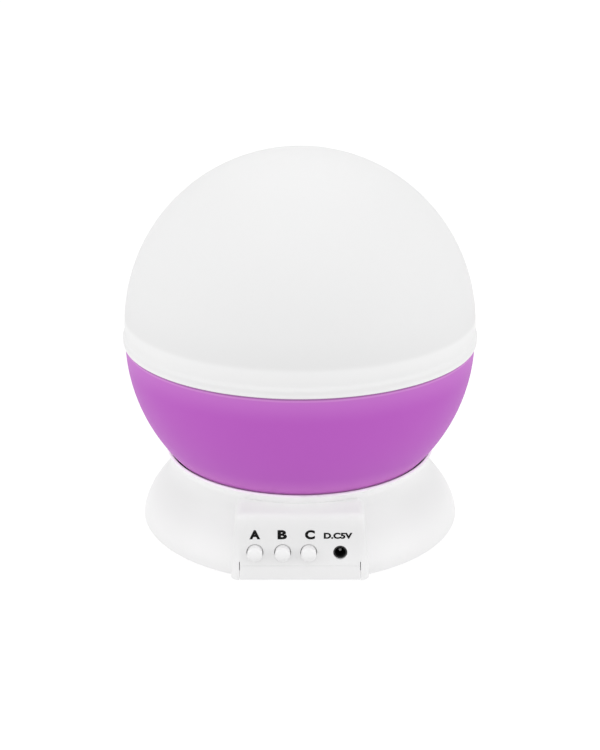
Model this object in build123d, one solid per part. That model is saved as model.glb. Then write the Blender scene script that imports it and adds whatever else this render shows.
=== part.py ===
from build123d import *

import os
from math import acos, asin, atan2, cos, degrees, pi, radians, sin, sqrt, tan

# Star night light projector: a ball that turns on a round base. Millimetres, +Z up.
# The origin is on the standing plane, on the axis that the ball turns about. -Y is the front,
# where the buttons and the power jack are.

# Whole object
HEIGHT = 135.0
BALL_RADIUS = 62.3

# Upper shell of the ball, with a raised band round its foot
COVER_WALL = 1.6
COVER_CENTRE_Z = HEIGHT - BALL_RADIUS
SEAM_Z = 68.5
SEAM_CHAMFER = 0.45
BAND_RADIUS = 62.9
BAND_TOP_Z = 77.3
BAND_BLEND = (62.66, 78.0)
BAND_END_Z = 78.5

# Lower shell of the ball
BOWL_RADIUS = 62.2
BOWL_CENTRE_Z = 67.8
BOWL_WALL = 2.4
BOWL_FLOOR_Z = 22.3
BOWL_CHAMFER = 0.7
SLEEVE_RADIUS = 8.0
SLEEVE_TOP_Z = 36.0
RIB_THICKNESS = 1.4
RIB_COUNT = 6
RIB_REACH = 30.0
RIB_END_HEIGHT = 1.0
RIB_DROP = 2.0

# Collar between the shells, with the ledge that the star dome stands on
COLLAR_RADIUS = 60.4
COLLAR_INNER_RADIUS = 59.0
COLLAR_TOP_Z = 77.0
COLLAR_SPIGOT_Z = 62.5
LEDGE_INNER_RADIUS = 54.2
LEDGE_TOP_Z = 69.0
LEDGE_THICKNESS = 1.6
SPIGOT_WALL = 1.4
LIP_RADII = (57.5, 58.3)
LIP_TOP_Z = 70.8

# Perforated dome and the clear dome just inside it
MASK_RADIUS = 57.2
MASK_WALL = 1.2
LINER_RADIUS = 55.9
LINER_WALL = 1.0
WINDOW_COUNT = 54
WINDOW_LOWEST = 0.20
WINDOW_HIGHEST = 0.97
WINDOW_TURN = 47.0
STAR_SIZES = (4.0, 2.9, 2.1)
STAR_INNER_SHARE = 0.45
MOON_SIZE = 3.6
MOON_EVERY = 9
MOON_BITE = (0.45, 0.1, 0.82)
GOLDEN_ANGLE = 180 * (3 - sqrt(5))

# Base housing: flared skirt, rim, dish, and the control block at the front
SKIRT_FOOT = (58.0, 0.8)
SKIRT_CURVE = ((56.6, 5.5), (54.0, 10.0), (50.9, 14.0), (48.4, 18.0), (47.4, 22.5), (48.0, 25.8))
RIM_OUTER = (48.9, 27.0)
RIM_CREST = (48.45, 27.75)
RIM_INNER = (47.9, 27.3)
DISH_FLOOR_RADIUS = 43.2
DISH_FLOOR_Z = 21.5
DISH_UNDER_Z = 20.0
DISH_OPENING_RADIUS = 16.0
CAVITY_FOOT = (56.1, 0.0)
CAVITY_CURVE = ((54.9, 5.0), (52.4, 9.6), (50.7, 12.2), (48.4, 15.0), (46.4, 18.0))
CAVITY_TOP = (45.3, DISH_UNDER_Z)
BLOCK_HALF_WIDTH = 23.25
BLOCK_DRAFT = 0.075
BLOCK_FOOT_Y = -57.3
BLOCK_TOP_Y = -53.4
BLOCK_TOP_Z = 22.8
BLOCK_BACK_TOP = (-47.0, 24.5)
BLOCK_BACK_Y = -40.0
BLOCK_ROUND = 3.0
BLOCK_WALL = 1.8

# Base plate with the battery bay and the front tab
PLATE_Z = (1.0, 3.0)
PLATE_RADIUS = 55.0
TAB_HALF_WIDTH = 20.05
TAB_TOP_Z = 5.7
TAB_TOP_GAP = 0.05
TAB_SLIT = 0.25
TAB_SLIT_TOP_Z = 7.1
TONGUE_FRONT_Y = -54.8
TONGUE_JOIN = 0.4
BAY_HALF_LENGTH = 24.4
BAY_Y = (-37.5, 5.5)
BAY_WALL = 1.2
BAY_ROOF_Z = 15.7
DOOR_GAP = 0.3
DOOR_THICKNESS = 1.6
LUG_X = (-13.0, 13.0)
LUG_WIDTH = 6.0
LUG_REACH = 2.2
LUG_THICKNESS = 0.7
LUG_ROOM_Z = (1.7, 5.2)
LUG_ROOM = 0.4
LATCH_HALF_WIDTH = 5.0
LATCH_THICKNESS = 0.8
LATCH_HEIGHT = 2.0
LATCH_SETBACK = 0.1
NOTCH_HALF_WIDTH = 6.0
NOTCH_LENGTH = 3.0
NOTCH_DEPTH = 0.8
GRIP_HALF_WIDTH = 7.0
GRIP_GROOVE = (0.8, 0.5)
GRIP_PITCH = 2.2
GRIP_START = 8.0

# Batteries, size AAA
CELL_RADIUS = 5.25
CELL_LENGTH = 43.7
CELL_NIPPLE = (1.9, 0.8)
CELL_COUNT = 4
CELL_Z = 8.65
CONTACT_THICKNESS = 0.4
CONTACT_HALF_WIDTH = 3.6
CONTACT_Z = (4.6, 12.6)
SPRING_THICKNESS = 0.3
SPRING_HALF_WIDTH = 2.6
SPRING_ELBOW_RISE = 1.0
SPRING_FOLD = 1.4
SPRING_END_DROP = 0.2

# Feet and fasteners
FOOT_RADIUS = 4.5
FOOT_HEIGHT = 1.8
FOOT_CHAMFER = 0.4
FOOT_CLEARANCE = 0.05
FOOT_PLACES = ((-34, -36), (34, -36), (-22, 43), (22, 43))
BASE_SCREW_PLACES = ((-41, -24), (41, -24), (-36, 30), (36, 30))
BOARD_SCREW_PLACES = ((-17.5, -42.4), (17.5, -42.4))
GEAR_POST_PLACES = ((-24, 22), (15, 33), (4, 12.5))
COLUMN_SCREW_CIRCLE = 9.8
HUB_SCREW_CIRCLE = 10.8
BOSS_RADIUS = 3.4
BOSS_ROOT = 0.8
BOSS_TOP_ROOT = 0.5
BOARD_POST_RADIUS = 2.2
GEAR_POST_RADIUS = 2.4

# Screws: head radius, head height, shank radius, shank length
HUB_SCREW = (2.1, 1.4, 1.1, 6.1)
BASE_SCREW = (2.6, 1.0, 1.25, 6.5)
BOARD_SCREW = (1.7, 1.2, 0.9, 3.6)
GEAR_PLATE_SCREW = (1.8, 1.3, 0.9, 5.2)
LED_BOARD_SCREW = (1.4, 1.0, 0.7, 4.1)
COLUMN_SCREW = (1.9, 1.1, 0.8, 1.6)
BASE_SCREW_SEAT_Z = 2.0
BASE_SCREW_RECESS = 2.9
SCREW_CLEARANCE = 0.1
SCREW_END_ROOM = 0.5

# Controls on the front
CONTROL_Z = 10.3
BUTTON_X = (-15.0, -5.75, 2.9)
BUTTON_NAMES = ("a", "b", "c")
BUTTON_RADIUS = 2.55
BUTTON_HOLE_RADIUS = 2.8
BUTTON_FRONT_Y = -58.5
BUTTON_DOME = 1.2
BUTTON_COLLAR_Y = (-53.0, -52.3)
BUTTON_COLLAR_RADIUS = 3.3
SWITCH_FRONT_Y = -51.4
JACK_X = 13.4
JACK_NOSE_RADIUS = 2.25
JACK_CLEARANCE = 0.1
JACK_SOCKET_RADIUS = 1.85
JACK_PIN_RADIUS = 0.65
JACK_FRONT_Y = -55.3
JACK_BODY_Y = (-52.7, -44.6)
JACK_SOCKET_END_Y = -46.6
JACK_BODY_HALF_WIDTH = 3.5
JACK_BODY_TOP_Z = 14.4
JACK_PIN_Y = (-53.6, -46.85)
JACK_PIN_CHAMFER = 0.2
JACK_TAIL_RADIUS = 0.45
JACK_TAIL_END_Y = -45.6
SWITCH_SIZE = (6.0, 3.6)
SWITCH_TOP_Z = 13.4
PLUNGER_RADIUS = 1.5
PLUNGER_TRAVEL_ROOM = 0.8
PLUNGER_CLEARANCE = 0.1

# Control board
BOARD_Z = (4.4, 6.0)
BOARD_HALF_WIDTH = 20.0
BOARD_Y = (-53.5, -40.4)

# Parts on the control board
CONNECTOR = ((-14.5, -8.5), (-45.6, -42.4), (6.0, 9.5))
CHIP = ((-5.0, 0.0), (-46.0, -42.2), (6.0, 7.6))
CAPACITOR_PLACE = (5.0, -43.6)
CAPACITOR_RADIUS = 2.4
CAPACITOR_TOP_Z = 12.0

# Column and LED board
COLUMN_RADIUS = 6.0
COLUMN_BORE = 4.6
COLUMN_TOP_Z = 60.0
COLUMN_FOOT_RADIUS = 12.5
COLUMN_FOOT_TOP_Z = 17.2
COLUMN_CAP = 3.0
COLUMN_WIRE_HOLE = 2.8
COLUMN_SLOT_HALF_WIDTH = 2.2
TURNING_CLEARANCE = 0.08
LED_BOARD_RADIUS = 13.0
LED_BOARD_TOP_Z = 61.6
LED_BOARD_SCREW_X = (-4.0, 4.0)
LED_CIRCLE = 8.0
LED_RADIUS = 2.5
LED_STRAIGHT = 5.6
LED_FLANGE = (2.9, 1.0)
LED_NAMES = ("warm", "red", "green", "blue")

# Gear train: motor pinion, first gear, second gear, hub gear
PRESSURE_ANGLE = 25.0
ADDENDUM = 0.8
DEDENDUM = 1.05
BACKLASH = 0.09
FINE_MODULE = 0.5
COARSE_MODULE = 0.6
HUB_TEETH = 72
SECOND_PINION_TEETH = 12
WHEEL_TEETH = 40
SMALL_PINION_TEETH = 10
FIRST_LEVEL = (13.4, 15.2)
SECOND_LEVEL = (15.4, 17.2)
HUB_LEVEL = (17.4, 19.4)
HUB_BOSS_RADIUS = 14.0
GEAR_PLATE_Z = (11.9, 13.1)
AXLE_RADIUS = 0.75
AXLE_CLEARANCE = 0.05
AXLE_SOCKET_GAP = 0.4
GEAR_LIFT = 0.15
FIRST_AXLE_TOP_Z = 19.0
SECOND_AXLE_TOP_Z = 19.8
GEAR_PLATE_BACK = ((4, 40), (-8, 40))
GEAR_PLATE_MARGIN = 3.4
MOTOR_RADIUS = 12.2
MOTOR_CAP_TOP_Z = 4.2
MOTOR_BOSS_RADIUS = 3.0
MOTOR_SHAFT_RADIUS = 1.0
SHAFT_FOOT_Z = 3.7
CRADLE_TOP_Z = 5.4
CRADLE_RING = (13.5, 12.35)
MOTOR_CAP_RADIUS = 11.9
MOTOR_BOSS_TOP_Z = 12.9
MOTOR_BOSS_CLEARANCE = 0.1
SHAFT_WELL_ROOM = 0.1
SECOND_DISTANCE = COARSE_MODULE * (HUB_TEETH + SECOND_PINION_TEETH) / 2
TRAIN_DISTANCE = FINE_MODULE * (WHEEL_TEETH + SMALL_PINION_TEETH) / 2
FIRST_BEARING = 157.3
MOTOR_BEARING = 40.8

# Thrust ring under the bowl
THRUST_RING_RADII = (28.0, 38.0)

# Wires
WIRE_RADIUS = 0.5
WIRE_STEP = 1.3
WIRE_END_GAP = 0.05
LED_WIRE_START = (-11.5, -44.0, 9.5)
LED_WIRE_LEVEL = 16.45
LED_WIRE_TURN_Y = (-34.0, -20.0)
LED_WIRE_RISE_Y = -1.6
LED_WIRE_BEND = 1.8
EDGE_WIRE_Y = -43.4
EDGE_WIRE_Z = 5.2
SIDE_WIRE_X = 29.4
MOTOR_WIRE_RUN = (20.0, 6.4)
MOTOR_WIRE_TURN = (22.0, 0.7, 6.6)
MOTOR_WIRE_BEND = 1.6
BATTERY_WIRE_END = (-30.0, 8.0)
BATTERY_WIRE_BEND = 1.5


# ---------------------------------------------------------------- shape helpers


def turned(*edges):
    """Solid of revolution about Z of a closed outline in (radius, height)."""
    return revolve(Plane.XZ * make_face(Curve() + list(edges)), Axis.Z)


def turned_points(*points):
    """Solid of revolution about Z of a polygon in (radius, height)."""
    return revolve(Plane.XZ * make_face(Polyline(*points, close=True)), Axis.Z)


def rod(radius, low, high, x=0.0, y=0.0):
    """Upright cylinder between two heights."""
    return Pos(x, y, low) * extrude(Circle(radius), high - low)


def washer(outer, inner, low, high, x=0.0, y=0.0):
    """Upright tube between two heights."""
    return Pos(x, y, low) * extrude(Circle(outer) - Circle(inner), high - low)


def brick(x, y, z):
    """Box from three (low, high) pairs."""
    size = [high - low for low, high in (x, y, z)]
    centre = [(high + low) / 2 for low, high in (x, y, z)]
    return Pos(*centre) * Box(*size)


def rod_y(radius, low, high, x, z):
    """Cylinder along Y between two places."""
    return Plane((x, low, z), x_dir=(1, 0, 0), z_dir=(0, 1, 0)) * extrude(Circle(radius), high - low)


def side_profile(points, half_width):
    """Prism along X of a polygon in (y, z)."""
    return extrude(Plane.YZ * make_face(Polyline(*points, close=True)), half_width, both=True)


def block_prism(points, half_width):
    """Prism along X of a polygon in (y, z), with sides that lean in by the control block's draft."""
    high = BLOCK_BACK_TOP[1]
    narrow = half_width - BLOCK_DRAFT * high
    sides = Polyline((-half_width, 0), (half_width, 0), (narrow, high), (-narrow, high), close=True)
    wedge = extrude(Plane.XZ * make_face(sides), 2 * abs(BLOCK_FOOT_Y), both=True)
    return side_profile(points, half_width) & wedge


def sphere_arc(radius, centre_z, low, high):
    """Arc of a sphere's outline between two heights, from the lower to the higher."""
    def at(z):
        return (sqrt(max(radius**2 - (z - centre_z) ** 2, 0)), z)

    return ThreePointArc(at(low), at((low + high) / 2), at(high))


def block_front(z):
    """Y of the control block's leaning front face at a height."""
    share = (z - SKIRT_FOOT[1]) / (BLOCK_TOP_Z - SKIRT_FOOT[1])
    return BLOCK_FOOT_Y + share * (BLOCK_TOP_Y - BLOCK_FOOT_Y)


def shank(size, seat_z, x, y, way=-1):
    """Shank of a screw from its head's seat, down or, with way 1, up."""
    return rod(size[2], *sorted((seat_z, seat_z + way * size[3])), x, y)


def screw(size, seat_z, x, y, way=-1):
    """Plain screw with its head on a seat and its shank beyond."""
    return rod(size[0], *sorted((seat_z, seat_z - way * size[1])), x, y) + shank(size, seat_z, x, y, way)


# ---------------------------------------------------------------- gears


def involute(angle):
    """Involute function of a pressure angle in radians."""
    return tan(angle) - angle


def gear_outline(teeth, module, phase):
    """Face of a spur gear with one tooth centred at the phase angle, in degrees."""
    pitch = teeth * module / 2
    base = pitch * cos(radians(PRESSURE_ANGLE))
    tip = pitch + ADDENDUM * module
    root = pitch - DEDENDUM * module
    half = (pi * module / 2 - BACKLASH) / (2 * pitch)

    def half_angle(radius):
        flank = involute(acos(min(base / radius, 1.0)))
        return half + involute(radians(PRESSURE_ANGLE)) - flank

    foot = max(base, root)
    middle = (foot + tip) / 2
    edges = []
    for tooth in range(teeth):
        centre = radians(phase) + 2 * pi * tooth / teeth
        after = centre + 2 * pi / teeth

        def at(radius, angle):
            return (radius * cos(angle), radius * sin(angle))

        rise = [at(r, centre - half_angle(r)) for r in (foot, middle, tip)]
        fall = [at(r, centre + half_angle(r)) for r in (tip, middle, foot)]
        low_left = at(root, centre - half_angle(foot))
        low_right = at(root, centre + half_angle(foot))
        next_left = at(root, after - half_angle(foot))
        if foot > root:
            edges += [Line(low_left, rise[0]), Line(fall[2], low_right)]
        edges += [ThreePointArc(*rise), Line(rise[2], fall[0]), ThreePointArc(*fall)]
        edges += [Line(low_right, next_left)]
    return make_face(Curve() + edges)


def meshed_phase(from_place, from_teeth, from_phase, to_place, to_teeth):
    """Phase of the second gear that puts its teeth in the gaps of the first."""
    bearing = degrees(atan2(to_place[1] - from_place[1], to_place[0] - from_place[0]))
    return bearing + 180 - ((from_phase - bearing) * from_teeth + 180) / to_teeth


def from_point(place, distance, bearing):
    """Point at a distance and bearing, in degrees, from another."""
    return (place[0] + distance * cos(radians(bearing)), place[1] + distance * sin(radians(bearing)))


SECOND_PLACE = (0.0, SECOND_DISTANCE)
FIRST_PLACE = from_point(SECOND_PLACE, TRAIN_DISTANCE, FIRST_BEARING)
MOTOR_PLACE = from_point(FIRST_PLACE, TRAIN_DISTANCE, MOTOR_BEARING)
HUB_PHASE = 0.0
SECOND_PHASE = meshed_phase((0, 0), HUB_TEETH, HUB_PHASE, SECOND_PLACE, SECOND_PINION_TEETH)
FIRST_PHASE = meshed_phase(SECOND_PLACE, WHEEL_TEETH, SECOND_PHASE, FIRST_PLACE, SMALL_PINION_TEETH)
MOTOR_PHASE = meshed_phase(FIRST_PLACE, WHEEL_TEETH, FIRST_PHASE, MOTOR_PLACE, SMALL_PINION_TEETH)


def toothed(teeth, module, phase, level, place):
    """Toothed disc between two heights."""
    return Pos(*place, level[0]) * extrude(gear_outline(teeth, module, phase), level[1] - level[0])


def wheel_and_pinion(place, wheel, wheel_level, pinion, pinion_level, pinion_module, phase):
    """Moulded double gear: a wheel with a smaller pinion above it, on a hub down to the gear plate."""
    bore = AXLE_RADIUS + AXLE_CLEARANCE
    foot_z = GEAR_PLATE_Z[1] + GEAR_LIFT
    top = pinion_level[1]
    joined = (wheel_level[0], pinion_level[0])
    gear = toothed(wheel, FINE_MODULE, phase, wheel_level, place)
    gear += toothed(pinion, pinion_module, phase, (joined[0], top), place)
    gear += rod(2 * AXLE_RADIUS, foot_z, wheel_level[0], *place)
    return gear - rod(bore, foot_z, top, *place)


def hub_gear():
    """Ring gear screwed under the bowl, with the boss that reaches up through the dish."""
    gear = toothed(HUB_TEETH, COARSE_MODULE, HUB_PHASE, HUB_LEVEL, (0, 0))
    gear += rod(HUB_BOSS_RADIUS, HUB_LEVEL[1], BOWL_FLOOR_Z)
    gear -= rod(COLUMN_RADIUS + TURNING_CLEARANCE, HUB_LEVEL[0], BOWL_FLOOR_Z)
    return gear - PolarLocations(HUB_SCREW_CIRCLE, 3) * shank(HUB_SCREW, BOWL_FLOOR_Z + BOWL_WALL, 0, 0)


def hub_screws():
    """Three screws from the bowl's floor into the hub gear."""
    return PolarLocations(HUB_SCREW_CIRCLE, 3) * screw(HUB_SCREW, BOWL_FLOOR_Z + BOWL_WALL, 0, 0)


# ---------------------------------------------------------------- the ball


def diffuser_cover():
    """Milky upper shell: part of a sphere on a raised straight band, chamfered at the seam."""
    inner = BALL_RADIUS - COVER_WALL
    centre = COVER_CENTRE_Z
    sphere = sphere_arc(BALL_RADIUS, centre, BAND_END_Z, HEIGHT)
    return turned(
        Line((inner, SEAM_Z), (BAND_RADIUS - SEAM_CHAMFER, SEAM_Z)),
        Line((BAND_RADIUS - SEAM_CHAMFER, SEAM_Z), (BAND_RADIUS, SEAM_Z + SEAM_CHAMFER)),
        Line((BAND_RADIUS, SEAM_Z + SEAM_CHAMFER), (BAND_RADIUS, BAND_TOP_Z)),
        ThreePointArc((BAND_RADIUS, BAND_TOP_Z), BAND_BLEND, sphere @ 0),
        sphere,
        Line((0, HEIGHT), (0, centre + inner)),
        CenterArc((0, centre), inner, 0, 90),
        Line((inner, centre), (inner, SEAM_Z)),
    )


def bowl():
    """Lower shell: a sphere cut flat below, with a sleeve that runs on the column and ribs round it."""
    inner = BOWL_RADIUS - BOWL_WALL
    floor_top = BOWL_FLOOR_Z + BOWL_WALL
    bore = COLUMN_RADIUS + TURNING_CLEARANCE
    rim_low = SEAM_Z - BOWL_CHAMFER
    rim_radius = sqrt(BOWL_RADIUS**2 - (rim_low - BOWL_CENTRE_Z) ** 2)
    outside = sphere_arc(BOWL_RADIUS, BOWL_CENTRE_Z, BOWL_FLOOR_Z, rim_low)
    inside = sphere_arc(inner, BOWL_CENTRE_Z, floor_top, SEAM_Z)
    shell = turned(
        Line((bore, BOWL_FLOOR_Z), outside @ 0),
        outside,
        Line((rim_radius, rim_low), (rim_radius - BOWL_CHAMFER, SEAM_Z)),
        Line((rim_radius - BOWL_CHAMFER, SEAM_Z), inside @ 1),
        inside,
        Line(inside @ 0, (SLEEVE_RADIUS, floor_top)),
        Line((SLEEVE_RADIUS, floor_top), (SLEEVE_RADIUS, SLEEVE_TOP_Z)),
        Line((SLEEVE_RADIUS, SLEEVE_TOP_Z), (bore, SLEEVE_TOP_Z)),
        Line((bore, SLEEVE_TOP_Z), (bore, BOWL_FLOOR_Z)),
    )
    rooted = 0.5
    rib_side = Polyline(
        (SLEEVE_RADIUS - rooted, floor_top - rooted),
        (RIB_REACH, floor_top - rooted),
        (RIB_REACH, floor_top + RIB_END_HEIGHT),
        (SLEEVE_RADIUS - rooted, SLEEVE_TOP_Z - RIB_DROP),
        close=True,
    )
    rib = extrude(Plane.XZ * make_face(rib_side), RIB_THICKNESS / 2, both=True)
    shell += PolarLocations(0, RIB_COUNT, start_angle=30) * rib
    return shell - PolarLocations(HUB_SCREW_CIRCLE, 3) * shank(HUB_SCREW, floor_top, 0, 0)


def rim_collar():
    """Ring glued into the bowl's rim: spigot below, ledge with a lip inside, band that guides the cover."""
    ledge_under = LEDGE_TOP_Z - LEDGE_THICKNESS
    spigot_inner = COLLAR_INNER_RADIUS - SPIGOT_WALL
    return turned_points(
        (LEDGE_INNER_RADIUS, ledge_under),
        (spigot_inner, ledge_under),
        (spigot_inner, COLLAR_SPIGOT_Z),
        (COLLAR_INNER_RADIUS, COLLAR_SPIGOT_Z),
        (COLLAR_INNER_RADIUS, SEAM_Z),
        (COLLAR_RADIUS, SEAM_Z),
        (COLLAR_RADIUS, COLLAR_TOP_Z),
        (COLLAR_INNER_RADIUS, COLLAR_TOP_Z),
        (COLLAR_INNER_RADIUS, LEDGE_TOP_Z),
        (LIP_RADII[1], LEDGE_TOP_Z),
        (LIP_RADII[1], LIP_TOP_Z),
        (LIP_RADII[0], LIP_TOP_Z),
        (LIP_RADII[0], LEDGE_TOP_Z),
        (LEDGE_INNER_RADIUS, LEDGE_TOP_Z),
    )


def half_shell(outer, wall, foot_z):
    """Open hemisphere standing on a height."""
    inner = outer - wall
    return turned(
        Line((inner, foot_z), (outer, foot_z)),
        CenterArc((0, foot_z), outer, 0, 90),
        Line((0, foot_z + outer), (0, foot_z + inner)),
        CenterArc((0, foot_z), inner, 0, 90),
    )


def star_window(size):
    """Five-pointed star."""
    points = []
    for corner in range(10):
        reach = size if corner % 2 == 0 else STAR_INNER_SHARE * size
        angle = pi / 2 + corner * pi / 5
        points.append((reach * cos(angle), reach * sin(angle)))
    return make_face(Polyline(*points, close=True))


def moon_window(size):
    """Crescent."""
    aside, up, share = MOON_BITE
    return Circle(size) - Pos(aside * size, up * size) * Circle(share * size)


def window_shape(number):
    """Window of the spiral's given number: mostly stars of three sizes, with a moon now and then."""
    if number % MOON_EVERY == 4:
        return moon_window(MOON_SIZE)
    return star_window(STAR_SIZES[number % 3])


def star_mask():
    """Opaque dome with star and moon windows set along a golden-angle spiral."""
    dome = half_shell(MASK_RADIUS, MASK_WALL, LEDGE_TOP_Z)
    cutters = []
    for number in range(WINDOW_COUNT):
        rise = WINDOW_LOWEST + (WINDOW_HIGHEST - WINDOW_LOWEST) * number / (WINDOW_COUNT - 1)
        flat = sqrt(1 - rise**2)
        turn = radians(GOLDEN_ANGLE * number)
        out = Vector(flat * cos(turn), flat * sin(turn), rise)
        along = Vector(-sin(turn), cos(turn), 0)
        start = Vector(0, 0, LEDGE_TOP_Z) + out * (MASK_RADIUS - 2.5 * MASK_WALL)
        plane = Plane(origin=start, x_dir=along, z_dir=out)
        cutters.append(plane * Rot(0, 0, WINDOW_TURN * number) * extrude(window_shape(number), 4 * MASK_WALL))
    return dome - cutters


# ---------------------------------------------------------------- the base


def control_block():
    """Solid of the control block: leaning front and sides, sloped top, rounded edges."""
    block = block_prism(
        [
            (BLOCK_FOOT_Y, SKIRT_FOOT[1]),
            (BLOCK_TOP_Y, BLOCK_TOP_Z),
            BLOCK_BACK_TOP,
            (BLOCK_BACK_Y, BLOCK_BACK_TOP[1]),
            (BLOCK_BACK_Y, SKIRT_FOOT[1]),
        ],
        BLOCK_HALF_WIDTH,
    )
    front = block.faces().sort_by(Axis.Y)[0]
    edges = list(front.edges().sort_by(Axis.Z)[1:])
    for edge in block.edges():
        middle = edge.center()
        if middle.Z > BLOCK_TOP_Z and abs(middle.X) > 1:
            edges.append(edge)
    return fillet(edges, BLOCK_ROUND)


def skirt_solid():
    """Solid inside the skirt's outer surface, up to the rim."""
    return turned(
        Line((0, SKIRT_FOOT[1]), SKIRT_FOOT),
        Spline(SKIRT_FOOT, *SKIRT_CURVE, RIM_OUTER),
        ThreePointArc(RIM_OUTER, RIM_CREST, RIM_INNER),
        Line(RIM_INNER, (DISH_FLOOR_RADIUS, DISH_FLOOR_Z)),
        Line((DISH_FLOOR_RADIUS, DISH_FLOOR_Z), (0, DISH_FLOOR_Z)),
        Line((0, DISH_FLOOR_Z), (0, SKIRT_FOOT[1])),
    )


def housing_cavity():
    """Hollow under the dish and behind the control block's walls."""
    cavity = turned(
        Line((0, 0), CAVITY_FOOT),
        Spline(CAVITY_FOOT, *CAVITY_CURVE, CAVITY_TOP),
        Line(CAVITY_TOP, (0, DISH_UNDER_Z)),
        Line((0, DISH_UNDER_Z), (0, 0)),
    )
    cavity += block_prism(
        [
            (block_front(0.0) + BLOCK_WALL, 0.0),
            (block_front(DISH_UNDER_Z) + BLOCK_WALL, DISH_UNDER_Z),
            (BLOCK_BACK_Y, DISH_UNDER_Z),
            (BLOCK_BACK_Y, 0.0),
        ],
        BLOCK_HALF_WIDTH - BLOCK_WALL,
    )
    return cavity


def screw_bosses():
    """Bosses for the base screws, ending inside the skirt's wall and the dish's floor."""
    top = DISH_UNDER_Z + BOSS_TOP_ROOT
    curve = [(radius + BOSS_ROOT, z) for radius, z in (CAVITY_FOOT, *CAVITY_CURVE, CAVITY_TOP)]
    room = turned_points((0, 0), *curve, (curve[-1][0], top), (0, top))
    return [rod(BOSS_RADIUS, PLATE_Z[1], top, x, y) & room for x, y in BASE_SCREW_PLACES]


def base_housing():
    """White housing: skirt, rim, dish with its opening, control block, screw bosses, axle sockets."""
    outside = skirt_solid() + control_block()
    above = BLOCK_BACK_TOP[1] + 10
    outside -= turned_points(
        (0, DISH_FLOOR_Z), (DISH_FLOOR_RADIUS, DISH_FLOOR_Z), RIM_INNER, (RIM_INNER[0], above), (0, above)
    )
    housing = outside - housing_cavity()
    for boss in screw_bosses():
        housing += boss
    for x, y in BASE_SCREW_PLACES:
        housing -= rod(BASE_SCREW[2], 0, BASE_SCREW_SEAT_Z + BASE_SCREW[3] + SCREW_END_ROOM, x, y)
    socket = (SECOND_LEVEL[1] + AXLE_SOCKET_GAP, DISH_FLOOR_Z)
    housing += washer(3 * AXLE_RADIUS, AXLE_RADIUS, *socket, *FIRST_PLACE)
    housing -= rod(DISH_OPENING_RADIUS, DISH_UNDER_Z - 1, DISH_FLOOR_Z + 1)
    through = (BLOCK_FOOT_Y - 1, BLOCK_TOP_Y + BLOCK_WALL + 1)
    for x in BUTTON_X:
        housing -= rod_y(BUTTON_HOLE_RADIUS, *through, x, CONTROL_Z)
    housing -= rod_y(JACK_NOSE_RADIUS + JACK_CLEARANCE, *through, JACK_X, CONTROL_Z)
    slit_end = TAB_HALF_WIDTH + TAB_SLIT
    housing -= brick((-slit_end, slit_end), through, (0, TAB_TOP_Z + TAB_TOP_GAP))
    for side in (-1, 1):
        slit = sorted((side * TAB_HALF_WIDTH, side * slit_end))
        housing -= brick(slit, through, (0, TAB_SLIT_TOP_Z))
    return housing


def base_plate():
    """Bottom plate with the battery bay, the front tab, screw posts and the motor's cradle."""
    low, top = PLATE_Z
    plate = rod(PLATE_RADIUS, low, top)
    plate += brick((-TAB_HALF_WIDTH, TAB_HALF_WIDTH), (TONGUE_FRONT_Y, BOARD_Y[1]), (low, top))
    plate += side_profile(
        [
            (block_front(low), low),
            (block_front(TAB_TOP_Z), TAB_TOP_Z),
            (block_front(TAB_TOP_Z) + BLOCK_WALL, TAB_TOP_Z),
            (TONGUE_FRONT_Y + TONGUE_JOIN, top),
            (TONGUE_FRONT_Y + TONGUE_JOIN, low),
        ],
        TAB_HALF_WIDTH,
    )
    half = BAY_HALF_LENGTH
    plate += brick(
        (-half - BAY_WALL, half + BAY_WALL), (BAY_Y[0] - BAY_WALL, BAY_Y[1] + BAY_WALL), (low, BAY_ROOF_Z)
    )
    plate -= brick((-half, half), BAY_Y, (0, BAY_ROOF_Z - BAY_WALL))
    for x in LUG_X:
        slot = LUG_WIDTH / 2 + DOOR_GAP
        plate -= brick((x - slot, x + slot), (BAY_Y[1] - 1, BAY_Y[1] + LUG_REACH + LUG_ROOM), LUG_ROOM_Z)
    notch = (BAY_Y[0] - NOTCH_LENGTH, BAY_Y[0] + 1)
    plate -= brick((-NOTCH_HALF_WIDTH, NOTCH_HALF_WIDTH), notch, (0, low + NOTCH_DEPTH))
    for x, y in BASE_SCREW_PLACES:
        plate -= rod(BASE_SCREW[2] + SCREW_CLEARANCE, 0, top + 1, x, y)
        plate -= rod(BASE_SCREW_RECESS, 0, BASE_SCREW_SEAT_Z, x, y)
    for x, y in FOOT_PLACES:
        plate -= rod(FOOT_RADIUS + FOOT_CLEARANCE, 0, FOOT_HEIGHT, x, y)
    for x, y in BOARD_SCREW_PLACES:
        plate += rod(BOARD_POST_RADIUS, top, BOARD_Z[0], x, y)
        plate -= shank(BOARD_SCREW, BOARD_Z[1], x, y)
    for x, y in GEAR_POST_PLACES:
        plate += rod(GEAR_POST_RADIUS, top, GEAR_PLATE_Z[0], x, y)
        hole_foot = GEAR_PLATE_Z[1] - GEAR_PLATE_SCREW[3] - SCREW_END_ROOM
        plate -= rod(GEAR_PLATE_SCREW[2], hole_foot, GEAR_PLATE_Z[0], x, y)
    plate += washer(*CRADLE_RING, top, CRADLE_TOP_Z, *MOTOR_PLACE)
    for x, y in column_screw_places():
        plate -= rod(COLUMN_SCREW[2], BAY_ROOF_Z - BAY_WALL, BAY_ROOF_Z, x, y)
    return plate


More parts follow.
